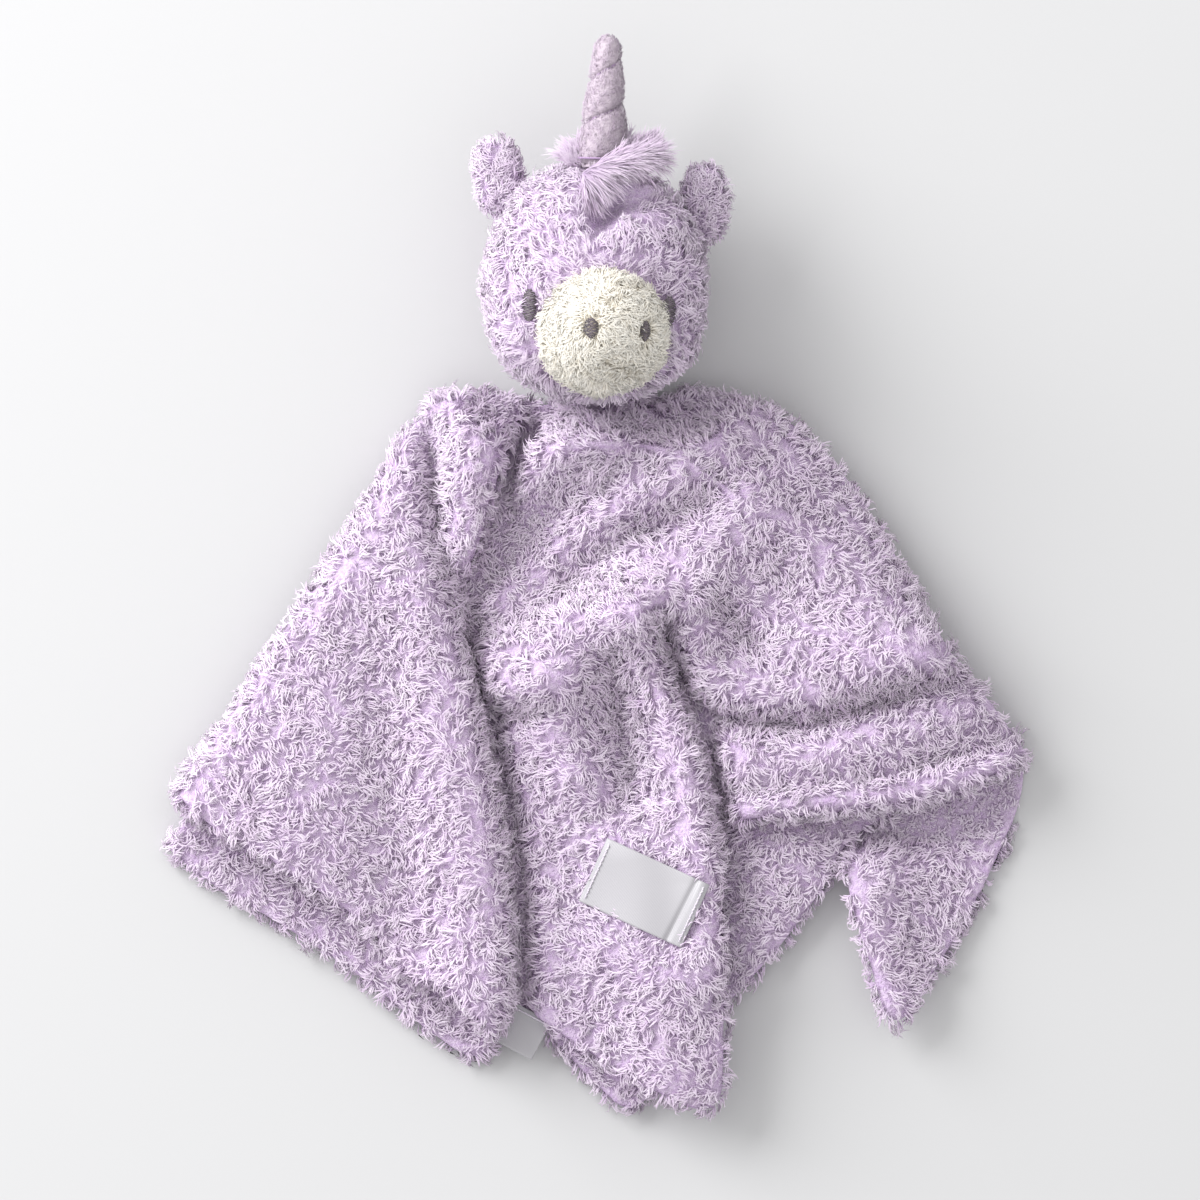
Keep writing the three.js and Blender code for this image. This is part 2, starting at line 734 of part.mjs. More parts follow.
// The wedge of space that the care label and its thread swing through.
function careSpace() {
  const reach = careLength + runningGap;
  const rise = labelThickness + careThreadRise + runningGap;
  const radius = Math.hypot(reach, rise) + runningGap;
  const lowest = -Math.atan2(runningGap, reach);
  const highest = radians(careFlapDeg) + Math.atan2(rise, reach);
  const arc = steps(lowest, highest, flapSweepSteps).map(
    (angle) => new THREE.Vector2(radius * Math.cos(angle), radius * Math.sin(angle)),
  );
  const first = new THREE.Vector2(-runningGap, -runningGap);
  const last = new THREE.Vector2(-runningGap, rise).rotateAround(new THREE.Vector2(), radians(careFlapDeg));
  const width = careWidth + 2 * runningGap;
  const profile = new THREE.Shape([first, ...arc, last]);
  const wedge = new THREE.ExtrudeGeometry(profile, { depth: width, bevelEnabled: false });
  const turned = new THREE.Matrix4().makeBasis(yAxis.clone().negate(), zAxis, xAxis.clone().negate());
  return solidOf(wedge.translate(0, 0, -width / 2), careMatrix.clone().multiply(turned));
}

function makeCareThread() {
  const half = careWidth / 2 - labelStitchInset;
  const above = labelThickness + seamGap + labelThreadRadius;
  const ends = [-half, half].map((x) => new THREE.Vector3(x, -labelStitchInset, above));
  const points = ends.map((end) => end.applyMatrix4(careMatrix));
  return solidOf(threadGeometry(points, labelThreadRadius, 1));
}

// Head
// The cover is a shell in three panels over the filling. The front seam runs down the face, and the side
// seams lie behind the middle.
function makeHead() {
  const reach = Math.max(headAcross, headUp, headDown, headFront, headBack) + overrun;
  const half = seamGap / 2;
  const hollow = neckHollow(neckInHead);
  const inside = stuffedSolid(grown(head, -coverThickness), headRounds);
  const shell = stuffedSolid(head, headRounds).subtract(inside).subtract(hollow);
  const panel = (fromX, fromZ, toX, toZ) => {
    const low = new THREE.Vector3(fromX, -reach, fromZ);
    const high = new THREE.Vector3(toX, reach, toZ);
    return outerBody(shell.intersect(boxSolid(low, high)));
  };
  const filling = stuffedSolid(grown(head, -coverThickness - seamGap), headRounds);
  return [
    meshOf("head_left_panel", panel(-reach, half - headSeamBehind, -half, reach), curlyPlush),
    meshOf("head_right_panel", panel(half, half - headSeamBehind, reach, reach), curlyPlush),
    meshOf("head_back_panel", panel(-reach, -reach, reach, -half - headSeamBehind), curlyPlush),
    meshOf("head_filling", outerBody(filling.subtract(hollow)), fibreFilling),
  ];
}

function makeMuzzle() {
  const face = stuffedSolid(grown(head, seamGap), headRounds);
  const inside = stuffedSolid(grown(muzzle, -coverThickness), muzzleRounds, muzzleMatrix);
  const cover = stuffedSolid(muzzle, muzzleRounds, muzzleMatrix).subtract(inside);
  const filling = stuffedSolid(grown(muzzle, -coverThickness - seamGap), muzzleRounds, muzzleMatrix);
  return [
    meshOf("muzzle_panel", outerBody(cover.subtract(face)), creamPlush),
    meshOf("muzzle_filling", outerBody(filling.subtract(face)), fibreFilling),
  ];
}

// Embroidery is an oval of a thin layer over the surface that it is sewn to.
function embroidery(form, formMatrix, point, width, height) {
  const layer = stuffedSolid(grown(form, seamGap + stitchThickness), embroideryRounds, formMatrix);
  const under = stuffedSolid(grown(form, seamGap), embroideryRounds, formMatrix);
  const out = surfaceNormal(form, point);
  const sideways = new THREE.Vector3().crossVectors(yAxis, out).normalize();
  const down = new THREE.Vector3().crossVectors(sideways, out);
  const through = 2 * (seamGap + stitchThickness) + coverThickness;
  const oval = new THREE.CylinderGeometry(1, 1, 1).scale(width / 2, through, height / 2);
  const matrix = new THREE.Matrix4().makeBasis(sideways, out, down).setPosition(point);
  return outerBody(layer.subtract(under).intersect(solidOf(oval, formMatrix.clone().multiply(matrix))));
}

function makeEye(name, sideDeg) {
  const front = new THREE.Vector3(Math.sin(radians(sideDeg)), 0, Math.cos(radians(sideDeg)));
  const point = front.multiplyScalar(stuffedReach(head, front)).setY(-eyeBelow);
  const oval = embroidery(head, new THREE.Matrix4(), point, eyeWidth, eyeHeight);
  const nose = stuffedSolid(grown(muzzle, seamGap), muzzleRounds, muzzleMatrix);
  return meshOf(name, outerBody(oval.subtract(nose)), darkThread);
}

function makeNostril(name, sideways) {
  const point = facePoint(muzzle, sideways - muzzleSideways, muzzleBelow - nostrilBelow);
  const oval = embroidery(muzzle, muzzleMatrix, point, nostrilWidth, nostrilHeight);
  return meshOf(name, oval, darkThread);
}

// Ears
// An ear stands on the side of the head, split into its front and back panels, and its foot is shaped by
// the head as it folds to and fro.
function makeEar(side, roundDeg, leanDeg) {
  const foot = surfacePoint(head, roundDeg, -earBehind);
  const out = surfaceNormal(head, foot);
  foot.addScaledVector(out, seamGap);
  const hinge = new THREE.Vector3(out.y, -out.x, 0).normalize();
  const turns = turnsAbout(foot, [[hinge, steps(-earFoldDeg, earFoldDeg, foldSweepSteps)]]);
  const space = swept(stuffedGeometry(grown(head, seamGap), headRounds), new THREE.Matrix4(), turns);
  const lean = new THREE.Matrix4().makeRotationZ(radians(leanDeg) - quarterTurn).setPosition(foot);
  const place = lean.multiply(new THREE.Matrix4().makeTranslation(0, earRise, 0));
  const whole = stuffedSolid(ear, earRounds, place).subtract(space);
  const reach = headUp + headAcross + earUp + earRise;
  const half = seamGap / 2;
  const slice = (from, to) => {
    const low = new THREE.Vector3(-reach, -reach, foot.z + from);
    const high = new THREE.Vector3(reach, reach, foot.z + to);
    return outerBody(whole.intersect(boxSolid(low, high)));
  };
  return [
    meshOf(side + "_ear_front", slice(half, earThick + overrun), curlyPlush),
    meshOf(side + "_ear_back", slice(-earThick - overrun, -half), curlyPlush),
  ];
}

// Horn
// The radius at a height, without the groove: it tapers straight, then rounds over at the tip.
function hornTaper(height) {
  const share = height / hornLength;
  if (share < hornTipShare) return lerp(hornRadius, hornTipRadius, share / hornTipShare);
  const past = (share - hornTipShare) / (1 - hornTipShare);
  return hornTipRadius * Math.sqrt(Math.max(1 - past * past, 0));
}

// The depth of the groove: depth * exp(-(distance from the spiral / width)^2).
function grooveAt(height, angle) {
  const turns = (height - grooveStart) / groovePitch - angle / fullTurn;
  const away = (turns - Math.round(turns)) * groovePitch;
  return grooveDepth * Math.exp(-((away / grooveWidth) ** 2));
}

// The groove runs out over the last pitch.
function grooveFade(height) {
  return clamp((hornLength - height) / groovePitch, 0, 1);
}

// A closed form round +Y whose radius depends on the height and on the angle.
function turnedGeometry(radiusAt, from, to, sides, rings) {
  const positions = [0, from, 0, 0, to, 0];
  const index = [];
  const at = (i, j) => 2 + j * sides + (i % sides);
  for (const height of steps(from, to, rings)) {
    for (const angle of steps(0, fullTurn, sides).slice(1)) {
      const radius = radiusAt(height, angle);
      positions.push(radius * Math.sin(angle), height, radius * Math.cos(angle));
    }
  }
  for (let i = 0; i < sides; i++) {
    index.push(0, at(i + 1, 0), at(i, 0), 1, at(i, rings), at(i + 1, rings));
    for (let j = 0; j < rings; j++) {
      index.push(at(i, j), at(i + 1, j), at(i + 1, j + 1), at(i, j), at(i + 1, j + 1), at(i, j + 1));
    }
  }
  return indexedGeometry(positions, index);
}

// The thread lies in the groove.
function hornThreadGeometry() {
  const pieces = Math.round((threadEndTurns - threadStartTurns) * threadPiecesPerTurn);
  const points = steps(threadStartTurns, threadEndTurns, pieces).map((turns) => {
    const height = grooveStart + turns * groovePitch;
    const drawnIn = (grooveDepth + grooveRoom) * grooveFade(height);
    const radius = hornTaper(height) - drawnIn + hornThreadRadius + runningGap;
    const angle = fullTurn * turns;
    return new THREE.Vector3(radius * Math.sin(angle), height, radius * Math.cos(angle));
  });
  return threadGeometry(points, hornThreadRadius, pieces);
}

// The seam round the horn's foot, which can turn in its place on the crown.
function hornSeamGeometry(clearance) {
  const ring = ringGeometry(hornRadius + hornThreadRadius + seamGap, hornThreadRadius + clearance);
  return ring.translate(0, headUp - hornBase.y + hornThreadRadius + seamGap, 0);
}

function makeHorn() {
  const coverRadius = (height, angle) => {
    const drawnIn = (grooveAt(height, angle) + grooveRoom) * grooveFade(height);
    return Math.max(hornTaper(height) - drawnIn, leastTip);
  };
  const coreGap = grooveDepth + grooveRoom + hornCover;
  const coreRadius = (height) => Math.max(hornTaper(height) - coreGap, leastTip);
  const fillRadius = (height) => coreRadius(height) - seamGap / 2;
  const tip = hornLength - leastTip;
  const coreTip = hornLength * hornTipShare - hornCover;
  const core = [hornCoreSides, hornCoreRings];
  const cover = solidOf(turnedGeometry(coverRadius, -hornSink, tip, hornSides, hornRings), hornMatrix);
  const inside = solidOf(turnedGeometry(coreRadius, -hornSink - overrun, coreTip, ...core), hornMatrix);
  const filling = solidOf(turnedGeometry(fillRadius, -hornSink, coreTip - seamGap, ...core), hornMatrix);
  const face = stuffedGeometry(grown(head, seamGap), headRounds);
  const bends = [xAxis, steps(-hornBendDeg, hornBendDeg, bendSweepSteps)];
  const twists = [yAxis, steps(-hornTwistDeg, hornTwistDeg, bendSweepSteps)];
  const crownSpace = swept(face, new THREE.Matrix4(), turnsAbout(hornBase, [bends, twists]));
  const seamSpace = swept(hornSeamGeometry(runningGap), hornMatrix, turnsAbout(hornBase, [bends]));
  const opened = cover.subtract(inside).subtract(crownSpace).subtract(seamSpace);
  return [
    meshOf("horn_cover", outerBody(opened), shortPlush),
    meshOf("horn_filling", outerBody(filling.subtract(crownSpace)), fibreFilling),
    meshOf("horn_thread", solidOf(hornThreadGeometry(), hornMatrix), lilacThread),
    meshOf("horn_seam_thread", solidOf(hornSeamGeometry(0), hornMatrix), lilacThread),
  ];
}

// Forelock
// A tuft lies on the crown, and is shaped by it and by the horn as that bends.
function makeTuft(name, form, roundDeg, forward, turnDeg) {
  const turn = new THREE.Matrix4().makeRotationZ(radians(turnDeg));
  const place = turn.setPosition(surfacePoint(head, roundDeg, forward));
  const radius = hornRadius + runningGap;
  const foot = turnedGeometry(() => radius, -hornSink - overrun, hornLength, hornCoreSides, 1);
  const bends = [xAxis, steps(-hornBendDeg, hornBendDeg, bendSweepSteps)];
  const hornSpace = swept(foot, hornMatrix, turnsAbout(hornBase, [bends]));
  const seam = solidOf(hornSeamGeometry(runningGap), hornMatrix);
  const face = stuffedSolid(grown(head, seamGap), headRounds);
  const tuft = stuffedSolid(form, tuftRounds, place).subtract(face).subtract(hornSpace).subtract(seam);
  return meshOf(name, outerBody(tuft), silkyFur);
}

// Neck
// The seam thread holds the head to the blanket. The gathering thread, inside it, draws the opening of
// the head closed. Both are centred on the neck, so that each can turn.
function neckThread(name, geometry) {
  return meshOf(name, solidOf(geometry, new THREE.Matrix4().setPosition(neckPoint)), lilacThread);
}

const blanket = meshOf("blanket", makeBlanket(), curlyPlush);
const blanketGroup = new THREE.Group();
blanketGroup.add(
  blanket,
  meshOf("woven_label", makeLabel(blanket), whiteSatin),
  meshOf("label_stitches_left", makeLabelThread(blanket, -1), whiteThread),
  meshOf("label_stitches_right", makeLabelThread(blanket, 1), whiteThread),
  meshOf("care_label", makeCareLabel(), whiteSatin),
  meshOf("care_label_stitches", makeCareThread(), whiteThread),
  neckThread("neck_seam_thread", ladderGeometry(seamRingRadius, neckThreadRadius)),
  neckThread("neck_gathering_thread", ringGeometry(gatherRingRadius, neckThreadRadius)),
);

const headGroup = new THREE.Group();
headGroup.position.copy(headPlace);
headGroup.rotation.z = radians(headLeanDeg);
headGroup.add(
  ...makeHead(),
  ...makeMuzzle(),
  makeEye("left_eye", leftEyeDeg),
  makeEye("right_eye", rightEyeDeg),
  makeNostril("left_nostril", leftNostrilSideways),
  makeNostril("right_nostril", rightNostrilSideways),
  ...makeEar("left", leftEarRoundDeg, leftEarLeanDeg),
  ...makeEar("right", rightEarRoundDeg, rightEarLeanDeg),
  ...makeHorn(),
  makeTuft("forelock_front", frontTuft, frontTuftRoundDeg, frontTuftForward, frontTuftTurnDeg),
  makeTuft("forelock_back", backTuft, backTuftRoundDeg, -backTuftBehind, backTuftTurnDeg),
);

// The origin is the middle of the footprint on the table.
const lovey = new THREE.Group();
lovey.add(blanketGroup, headGroup);
const extent = new THREE.Box3().setFromObject(lovey);
const middle = extent.getCenter(new THREE.Vector3());
lovey.position.set(-middle.x, -middle.y, -extent.min.z);

const part = new THREE.Group();
part.add(lovey);
export default part;
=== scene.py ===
"""Comfort blanket lovey: its plush, fur, thread and satin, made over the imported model."""

import json
import logging
import math
from dataclasses import dataclass, field, replace
from enum import Enum
from functools import cache
from itertools import product

import bpy
import numpy as np
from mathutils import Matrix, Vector

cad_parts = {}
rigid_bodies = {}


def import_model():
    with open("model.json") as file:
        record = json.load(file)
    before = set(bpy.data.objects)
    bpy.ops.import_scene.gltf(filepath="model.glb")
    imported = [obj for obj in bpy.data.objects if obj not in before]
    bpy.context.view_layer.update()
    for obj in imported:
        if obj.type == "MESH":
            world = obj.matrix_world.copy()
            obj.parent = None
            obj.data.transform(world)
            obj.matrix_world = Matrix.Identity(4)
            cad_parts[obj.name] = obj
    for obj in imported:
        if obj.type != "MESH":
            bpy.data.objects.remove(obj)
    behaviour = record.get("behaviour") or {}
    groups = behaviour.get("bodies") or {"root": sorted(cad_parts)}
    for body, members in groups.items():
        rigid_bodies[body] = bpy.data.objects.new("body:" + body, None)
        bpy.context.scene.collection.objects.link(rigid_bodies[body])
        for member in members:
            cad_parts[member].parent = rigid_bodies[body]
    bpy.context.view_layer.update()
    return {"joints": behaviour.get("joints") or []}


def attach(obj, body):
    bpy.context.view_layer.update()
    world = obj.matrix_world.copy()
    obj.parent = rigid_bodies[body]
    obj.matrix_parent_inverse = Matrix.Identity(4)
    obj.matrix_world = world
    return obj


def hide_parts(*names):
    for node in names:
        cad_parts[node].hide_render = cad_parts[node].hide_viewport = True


for stray in list(bpy.data.objects):
    bpy.data.objects.remove(stray)
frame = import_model()

Array = np.ndarray
Random = np.random.Generator
Tree = bpy.types.NodeTree
Socket = bpy.types.NodeSocket
Node = bpy.types.Node
Object = bpy.types.Object
Material = bpy.types.Material
LOG = logging.getLogger("lovey")

# Sizes in millimetres. The drape is laid out in plan from the neck, whose middle is NECK_HEIGHT above
# the table, and is traced in pixels of a view from above.
MM = 0.001
BLANKET_SIDE = 356.0
PLUSH = 8.0
CORNER_REACH_PIXELS = 725.0
NECK_PIXELS = (600.0, 396.0)
PICTURE_PIXELS = 1200.0
MM_PER_PIXEL = BLANKET_SIDE * math.sqrt(0.5) / CORNER_REACH_PIXELS
NECK_HEIGHT = 23.0
NECK = np.array([0.0, 0.0, NECK_HEIGHT])
JOINTS = {joint["name"]: joint for joint in frame["joints"]}
ORIGIN = np.array(JOINTS["head_turn"]["pos_m"]) / MM - NECK
BAKE_UV = "OFBake"

# Fine fibres pass light on to each other, so a strand is shaded mostly as its cloth is, a little by its
# own side, less from below, and lit through from above.
OWN_SHADE = 0.22
UNDER_SHADE = 0.3
LIGHT_THROUGH = np.array([0.0, 0.0, 0.45])

# The strip of UV that one strand takes: its tint, and a step for each side, so that no face is flat.
TINT_SPAN = 0.97
TINT_START = 0.005
SIDE_STEP = 0.006


# Small tools


def on_table(pixels: Array | tuple) -> Array:
    """Places in plan, in mm from the neck, of pixels of the view from above.

    Args:
        pixels: (..., 2) pixels, counted right and down.

    Returns:
        (..., 2) places: right and towards the horn.
    """
    away = (np.asarray(pixels, float) - NECK_PIXELS) * MM_PER_PIXEL
    return away * (1.0, -1.0)


def unit(vectors: Array) -> Array:
    """Each vector divided by its length."""
    return vectors / np.maximum(np.linalg.norm(vectors, axis=-1, keepdims=True), 1e-9)


def dot(a: Array, b: Array) -> Array:
    """The dot product along the last axis, kept as an axis of one."""
    return np.sum(a * b, axis=-1, keepdims=True)


def turned(vectors: Array, degrees: float, axis: int = 2) -> Array:
    """Vectors turned about one of the three axes.

    Args:
        vectors: (..., 3) vectors.
        degrees: angle, right-handed.
        axis: 0, 1 or 2 for X, Y or Z.

    Returns:
        The turned vectors.
    """
    angle = math.radians(degrees)
    first, second = (axis + 1) % 3, (axis + 2) % 3
    out = np.array(vectors, float)
    out[..., first] = vectors[..., first] * math.cos(angle) - vectors[..., second] * math.sin(angle)
    out[..., second] = vectors[..., first] * math.sin(angle) + vectors[..., second] * math.cos(angle)
    return out


def about_y(radius: Array | float, height: Array, angle: Array) -> Array:
    """Places round the line of +Y, at a radius, a height along it and an angle from +Z to +X."""
    return np.stack(np.broadcast_arrays(radius * np.sin(angle), height, radius * np.cos(angle)), -1)


def smooth(share: Array) -> Array:
    """Eases from 0 to 1: three squares less two cubes of the clipped share."""
    share = np.clip(share, 0.0, 1.0)
    return share * share * (3.0 - 2.0 * share)


# Meshes


@dataclass
class Shape:
    """A mesh of triangles.

    Attributes:
        points: (n, 3) corners, in mm from the neck's place on the table.
        triangles: (m, 3) corner numbers, anticlockwise from outside.
        uv: (n, 2) pattern place of each corner, or None.
        shading: (n, 3) directions that the light falls on, or None for those of the triangles.
    """

    points: Array
    triangles: Array
    uv: Array | None = None
    shading: Array | None = None

    def faces(self) -> Array:
        """Twice the area of each triangle, as a vector outwards: the cross product of two sides."""
        a, b, c = (self.points[self.triangles[:, k]] for k in range(3))
        return np.cross(b - a, c - a)

    def normals(self) -> Array:
        """The outward direction at each corner: the sum of its triangles' area vectors, made unit."""
        faces = self.faces()
        sums = np.zeros_like(self.points)
        for k in range(3):
            np.add.at(sums, self.triangles[:, k], faces)
        return unit(sums)


def joined(shapes: list[Shape]) -> Shape:
    """Several shapes as one.

    Args:
        shapes: which all have a UV, or none of them.

    Returns:
        One shape with the corners and triangles of all.
    """
    starts = np.cumsum([0] + [len(shape.points) for shape in shapes[:-1]])
    triangles = [shape.triangles + start for shape, start in zip(shapes, starts)]
    uv = None if shapes[0].uv is None else np.concatenate([shape.uv for shape in shapes])
    return Shape(np.concatenate([shape.points for shape in shapes]), np.concatenate(triangles), uv)


def grid_triangles(corners: Array) -> Array:
    """Two triangles for each cell of a grid.

    Args:
        corners: (rows, columns) corner numbers.

    Returns:
        (m, 3) corner numbers.
    """
    a, b, c, d = corners[:-1, :-1], corners[:-1, 1:], corners[1:, 1:], corners[1:, :-1]
    first, second = np.stack([a, b, c], -1), np.stack([a, c, d], -1)
    return np.concatenate([first.reshape(-1, 3), second.reshape(-1, 3)])


def ring_numbers(rings: int, sides: int) -> Array:
    """Corner numbers of rings, one to a row, each with its first corner again at its end."""
    numbers = np.arange(rings * sides).reshape(rings, sides)
    return np.concatenate([numbers, numbers[:, :1]], axis=1)


def capped_rings(rings: int, sides: int, clockwise: bool = False) -> Array:
    """Triangles of rings closed at both ends by a corner, which have the next two numbers.

    Args:
        rings: number of rings.
        sides: corners of a ring.
        clockwise: the rings run clockwise seen from ahead.

    Returns:
        (m, 3) corner numbers.
    """
    numbers = ring_numbers(rings, sides)
    first, last, low = numbers[0], numbers[-1], rings * sides
    caps = np.concatenate([
        np.stack([np.full(sides, low), first[1:], first[:-1]], -1),
        np.stack([np.full(sides, low + 1), last[:-1], last[1:]], -1),
    ])
    walls = grid_triangles(numbers)
    if clockwise:
        walls, caps = walls[:, ::-1], caps[:, (0, 2, 1)]
    return np.concatenate([walls, caps])


def placed(name: str, data: bpy.types.ID) -> Object:
    """Puts an object with a mesh, a lamp or a lens in the scene.

    Args:
        name: of the object.
        data: what it shows.

    Returns:
        The object, at the origin.
    """
    made = bpy.data.objects.new(name, data)
    bpy.context.scene.collection.objects.link(made)
    return made


def piece(name: str, shape: Shape, material: Material, body: str) -> Object:
    """Makes a shape's object, in the frame, and lets it ride on a body.

    Args:
        name: name of the piece.
        shape: its mesh.
        material: its finish.
        body: which it moves with.

    Returns:
        The object, which sits at the origin.
    """
    mesh = bpy.data.meshes.new(name)
    count = len(shape.triangles)
    mesh.vertices.add(len(shape.points))
    mesh.vertices.foreach_set("co", ((shape.points + ORIGIN) * MM).astype("f").ravel())
    mesh.loops.add(3 * count)
    mesh.loops.foreach_set("vertex_index", shape.triangles.astype("i").ravel())
    mesh.polygons.add(count)
    mesh.polygons.foreach_set("loop_start", np.arange(0, 3 * count, 3, dtype="i"))
    if shape.uv is not None:
        layer = mesh.uv_layers.new(name=BAKE_UV)
        layer.data.foreach_set("uv", shape.uv[shape.triangles].astype("f").ravel())
    mesh.update(calc_edges=True)
    mesh.shade_smooth()
    if shape.shading is not None:
        mesh.normals_split_custom_set_from_vertices(shape.shading.tolist())
    mesh.materials.append(material)
    made = placed(name, mesh)
    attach(made, body)
    LOG.info("%s: %d triangles, on %s", name, count, body)
    return made


def tubes(
    paths: Array, radii: Array, sideways: Array, sides: int, pointed: bool, tint: Array,
    base: Array | None = None,
) -> Shape:
    """Round threads or strands along many paths at once.

    Each ring is a regular polygon across its path, with a flat side towards the path's cross product
    with the sideways direction. Both ends are closed: a strand's in a point, and a thread's flat.

    Args:
        paths: (n, rings, 3) places along each path.
        radii: (n, rings) or (rings,) radius at each place.
        sideways: (n, 3) or (n, rings, 3) directions that aren't along the paths.
        sides: sides of the polygon.
        pointed: both ends are points.
        tint: (n,) shares from 0 to 1, kept as u; v runs from root to tip.
        base: (n, 3) outward directions of the cloth that pointed strands grow from, which shades them.

    Returns:
        The shape of all of them.
    """
    count, rings = paths.shape[:2]
    ahead = unit(np.gradient(paths, axis=1))
    if sideways.ndim == 2:
        sideways = np.broadcast_to(sideways[:, None], paths.shape)
    across = unit(sideways - dot(sideways, ahead) * ahead)
    up = np.cross(ahead, across)
    angles = 2.0 * math.pi * np.arange(sides) / sides + math.pi / 6.0
    round_ = across[:, :, None] * np.cos(angles)[:, None] + up[:, :, None] * np.sin(angles)[:, None]
    points = paths[:, :, None] + round_ * np.broadcast_to(radii, (count, rings))[:, :, None, None]
    kept = slice(1, rings - 1) if pointed else slice(0, rings)
    full = rings - 2 if pointed else rings
    body = points[:, kept].reshape(count, full * sides, 3)
    wrapped = ring_numbers(full, sides)
    each = full * sides
    u = np.tile(np.arange(sides), full) * SIDE_STEP
    v = np.repeat(np.linspace(0.0, 1.0, rings)[kept], sides)
    first, last = wrapped[0], wrapped[-1]
    if pointed:
        body = np.concatenate([body, paths[:, :1], paths[:, -1:]], axis=1)
        root = np.stack([first[1:], first[:-1], np.full(sides, each)], -1)
        tip = np.stack([last[:-1], last[1:], np.full(sides, each + 1)], -1)
        each += 2
        u, v = np.append(u, [SIDE_STEP, SIDE_STEP]), np.append(v, [0.0, 1.0])
    else:
        fan = np.arange(1, sides - 1)
        root = first[np.stack([np.zeros_like(fan), fan + 1, fan], -1)]
        tip = last[np.stack([np.zeros_like(fan), fan, fan + 1], -1)]
    template = np.concatenate([grid_triangles(wrapped), root, tip])
    triangles = template[None] + each * np.arange(count)[:, None, None]
    u = tint[:, None] * TINT_SPAN + u + TINT_START
    uv = np.stack([u, np.broadcast_to(v, (count, each))], -1)
    shading = None
    if base is not None:
        own = np.concatenate([round_[:, kept].reshape(count, -1, 3), -ahead[:, :1], ahead[:, -1:]], axis=1)
        facing = base * np.where(base < 0.0, (1.0, 1.0, UNDER_SHADE), 1.0) + LIGHT_THROUGH
        shading = unit(own * OWN_SHADE + facing[:, None]).reshape(-1, 3)
    return Shape(body.reshape(-1, 3), triangles.reshape(-1, 3), uv.reshape(-1, 2), shading)


def scattered(shape: Shape, count: int, rng: Random, weight: Array | float = 1.0) -> tuple[Array, Array]:
    """Places spread evenly over a shape.

    Even steps of the running sum of the triangles' weighted areas pick the triangles, and each place is
    drawn at random within its own.

    Args:
        shape: the shape.
        count: number of places.
        rng: random numbers.
        weight: (m,) weight of each triangle.

    Returns:
        (count, 3) places and (count, 3) outward directions.
    """
    corners = shape.points[shape.triangles]
    running = np.cumsum(np.linalg.norm(shape.faces(), axis=1) * weight)
    picks = (np.arange(count) + rng.random(count)) / count * running[-1]
    chosen = np.minimum(np.searchsorted(running, picks), len(running) - 1)
    draws = np.sort(rng.random((count, 2)), axis=1)
    shares = np.stack([draws[:, 0], draws[:, 1] - draws[:, 0], 1.0 - draws[:, 1]], 1)[:, :, None]
    places = np.sum(corners[chosen] * shares, axis=1)
    outward = np.sum(shape.normals()[shape.triangles[chosen]] * shares, axis=1)
    return places, unit(outward)


# Finishes


def linear(colour: str) -> tuple[float, float, float, float]:
    """The linear values of an sRGB colour.

    Args:
        colour: in hex, such as #c9b4d4.

    Returns:
        Red, green and blue from 0 to 1, and full alpha.
    """
    values = [int(colour[k : k + 2], 16) / 255.0 for k in (1, 3, 5)]
    plain = [v / 12.92 if v <= 0.04045 else ((v + 0.055) / 1.055) ** 2.4 for v in values]
    return (plain[0], plain[1], plain[2], 1.0)


def add_node(tree: Tree, kind: str, inputs: dict, **settings) -> Node:
    """Adds a shader node.

    Args:
        tree: of the material.
        kind: the node's type.
        inputs: value or linked socket of each input, by name or number.
        **settings: properties of the node.

    Returns:
        The node.
    """
    node = tree.nodes.new(kind)
    for key, value in settings.items():
        setattr(node, key, value)
    for key, value in inputs.items():
        if isinstance(value, Socket):
            tree.links.new(value, node.inputs[key])
        else:
            node.inputs[key].default_value = value
    return node


@dataclass(frozen=True)
class Finish:
    """A fibrous surface: its name, how matt it is, and the bloom that fine fibres give at the edges."""

    name: str
    roughness: float
    sheen: float
    gloss: float = 0.25
    bloom: str = "#ffffff"

    def material(self) -> Material:
        """Makes the material and links its colour and relief."""
        made = bpy.data.materials.new(self.name)
        made.use_nodes = True
        shader = made.node_tree.nodes["Principled BSDF"]
        shader.inputs["Roughness"].default_value = self.roughness
        shader.inputs["Specular IOR Level"].default_value = self.gloss
        shader.inputs["Sheen Weight"].default_value = self.sheen
        shader.inputs["Sheen Roughness"].default_value = 0.5
        shader.inputs["Sheen Tint"].default_value = linear(self.bloom)
        self.paint(made.node_tree, shader)
        return made

    def paint(self, tree: Tree, shader: Node) -> None:
        """Links the colour and relief to the shader."""
        raise NotImplementedError

    def raise_by(self, tree: Tree, shader: Node, pattern: Socket, mm: float) -> None:
        """Raises the surface by a pattern.

        Args:
            tree: of the material.
            shader: its shader.
            pattern: a socket from 0 to 1.
            mm: height where it is 1.
        """
        bump = add_node(tree, "ShaderNodeBump", {"Height": pattern, "Distance": mm * MM})
        tree.links.new(bump.outputs["Normal"], shader.inputs["Normal"])

    def ramp(self, tree: Tree, share: Socket, stops: dict[float, str]) -> Socket:
        """Colours along a share.

        Args:
            tree: of the material.
            share: a socket from 0 to 1.
            stops: hex colour at each share.

        Returns:
            The colour socket.
        """
        node = add_node(tree, "ShaderNodeValToRGB", {"Fac": share})
        marks = node.color_ramp.elements
        while len(marks) < len(stops):
            marks.new(0.5)
        for mark, (place, colour) in zip(marks, sorted(stops.items())):
            mark.position = place
            mark.color = linear(colour)
        return node.outputs["Color"]


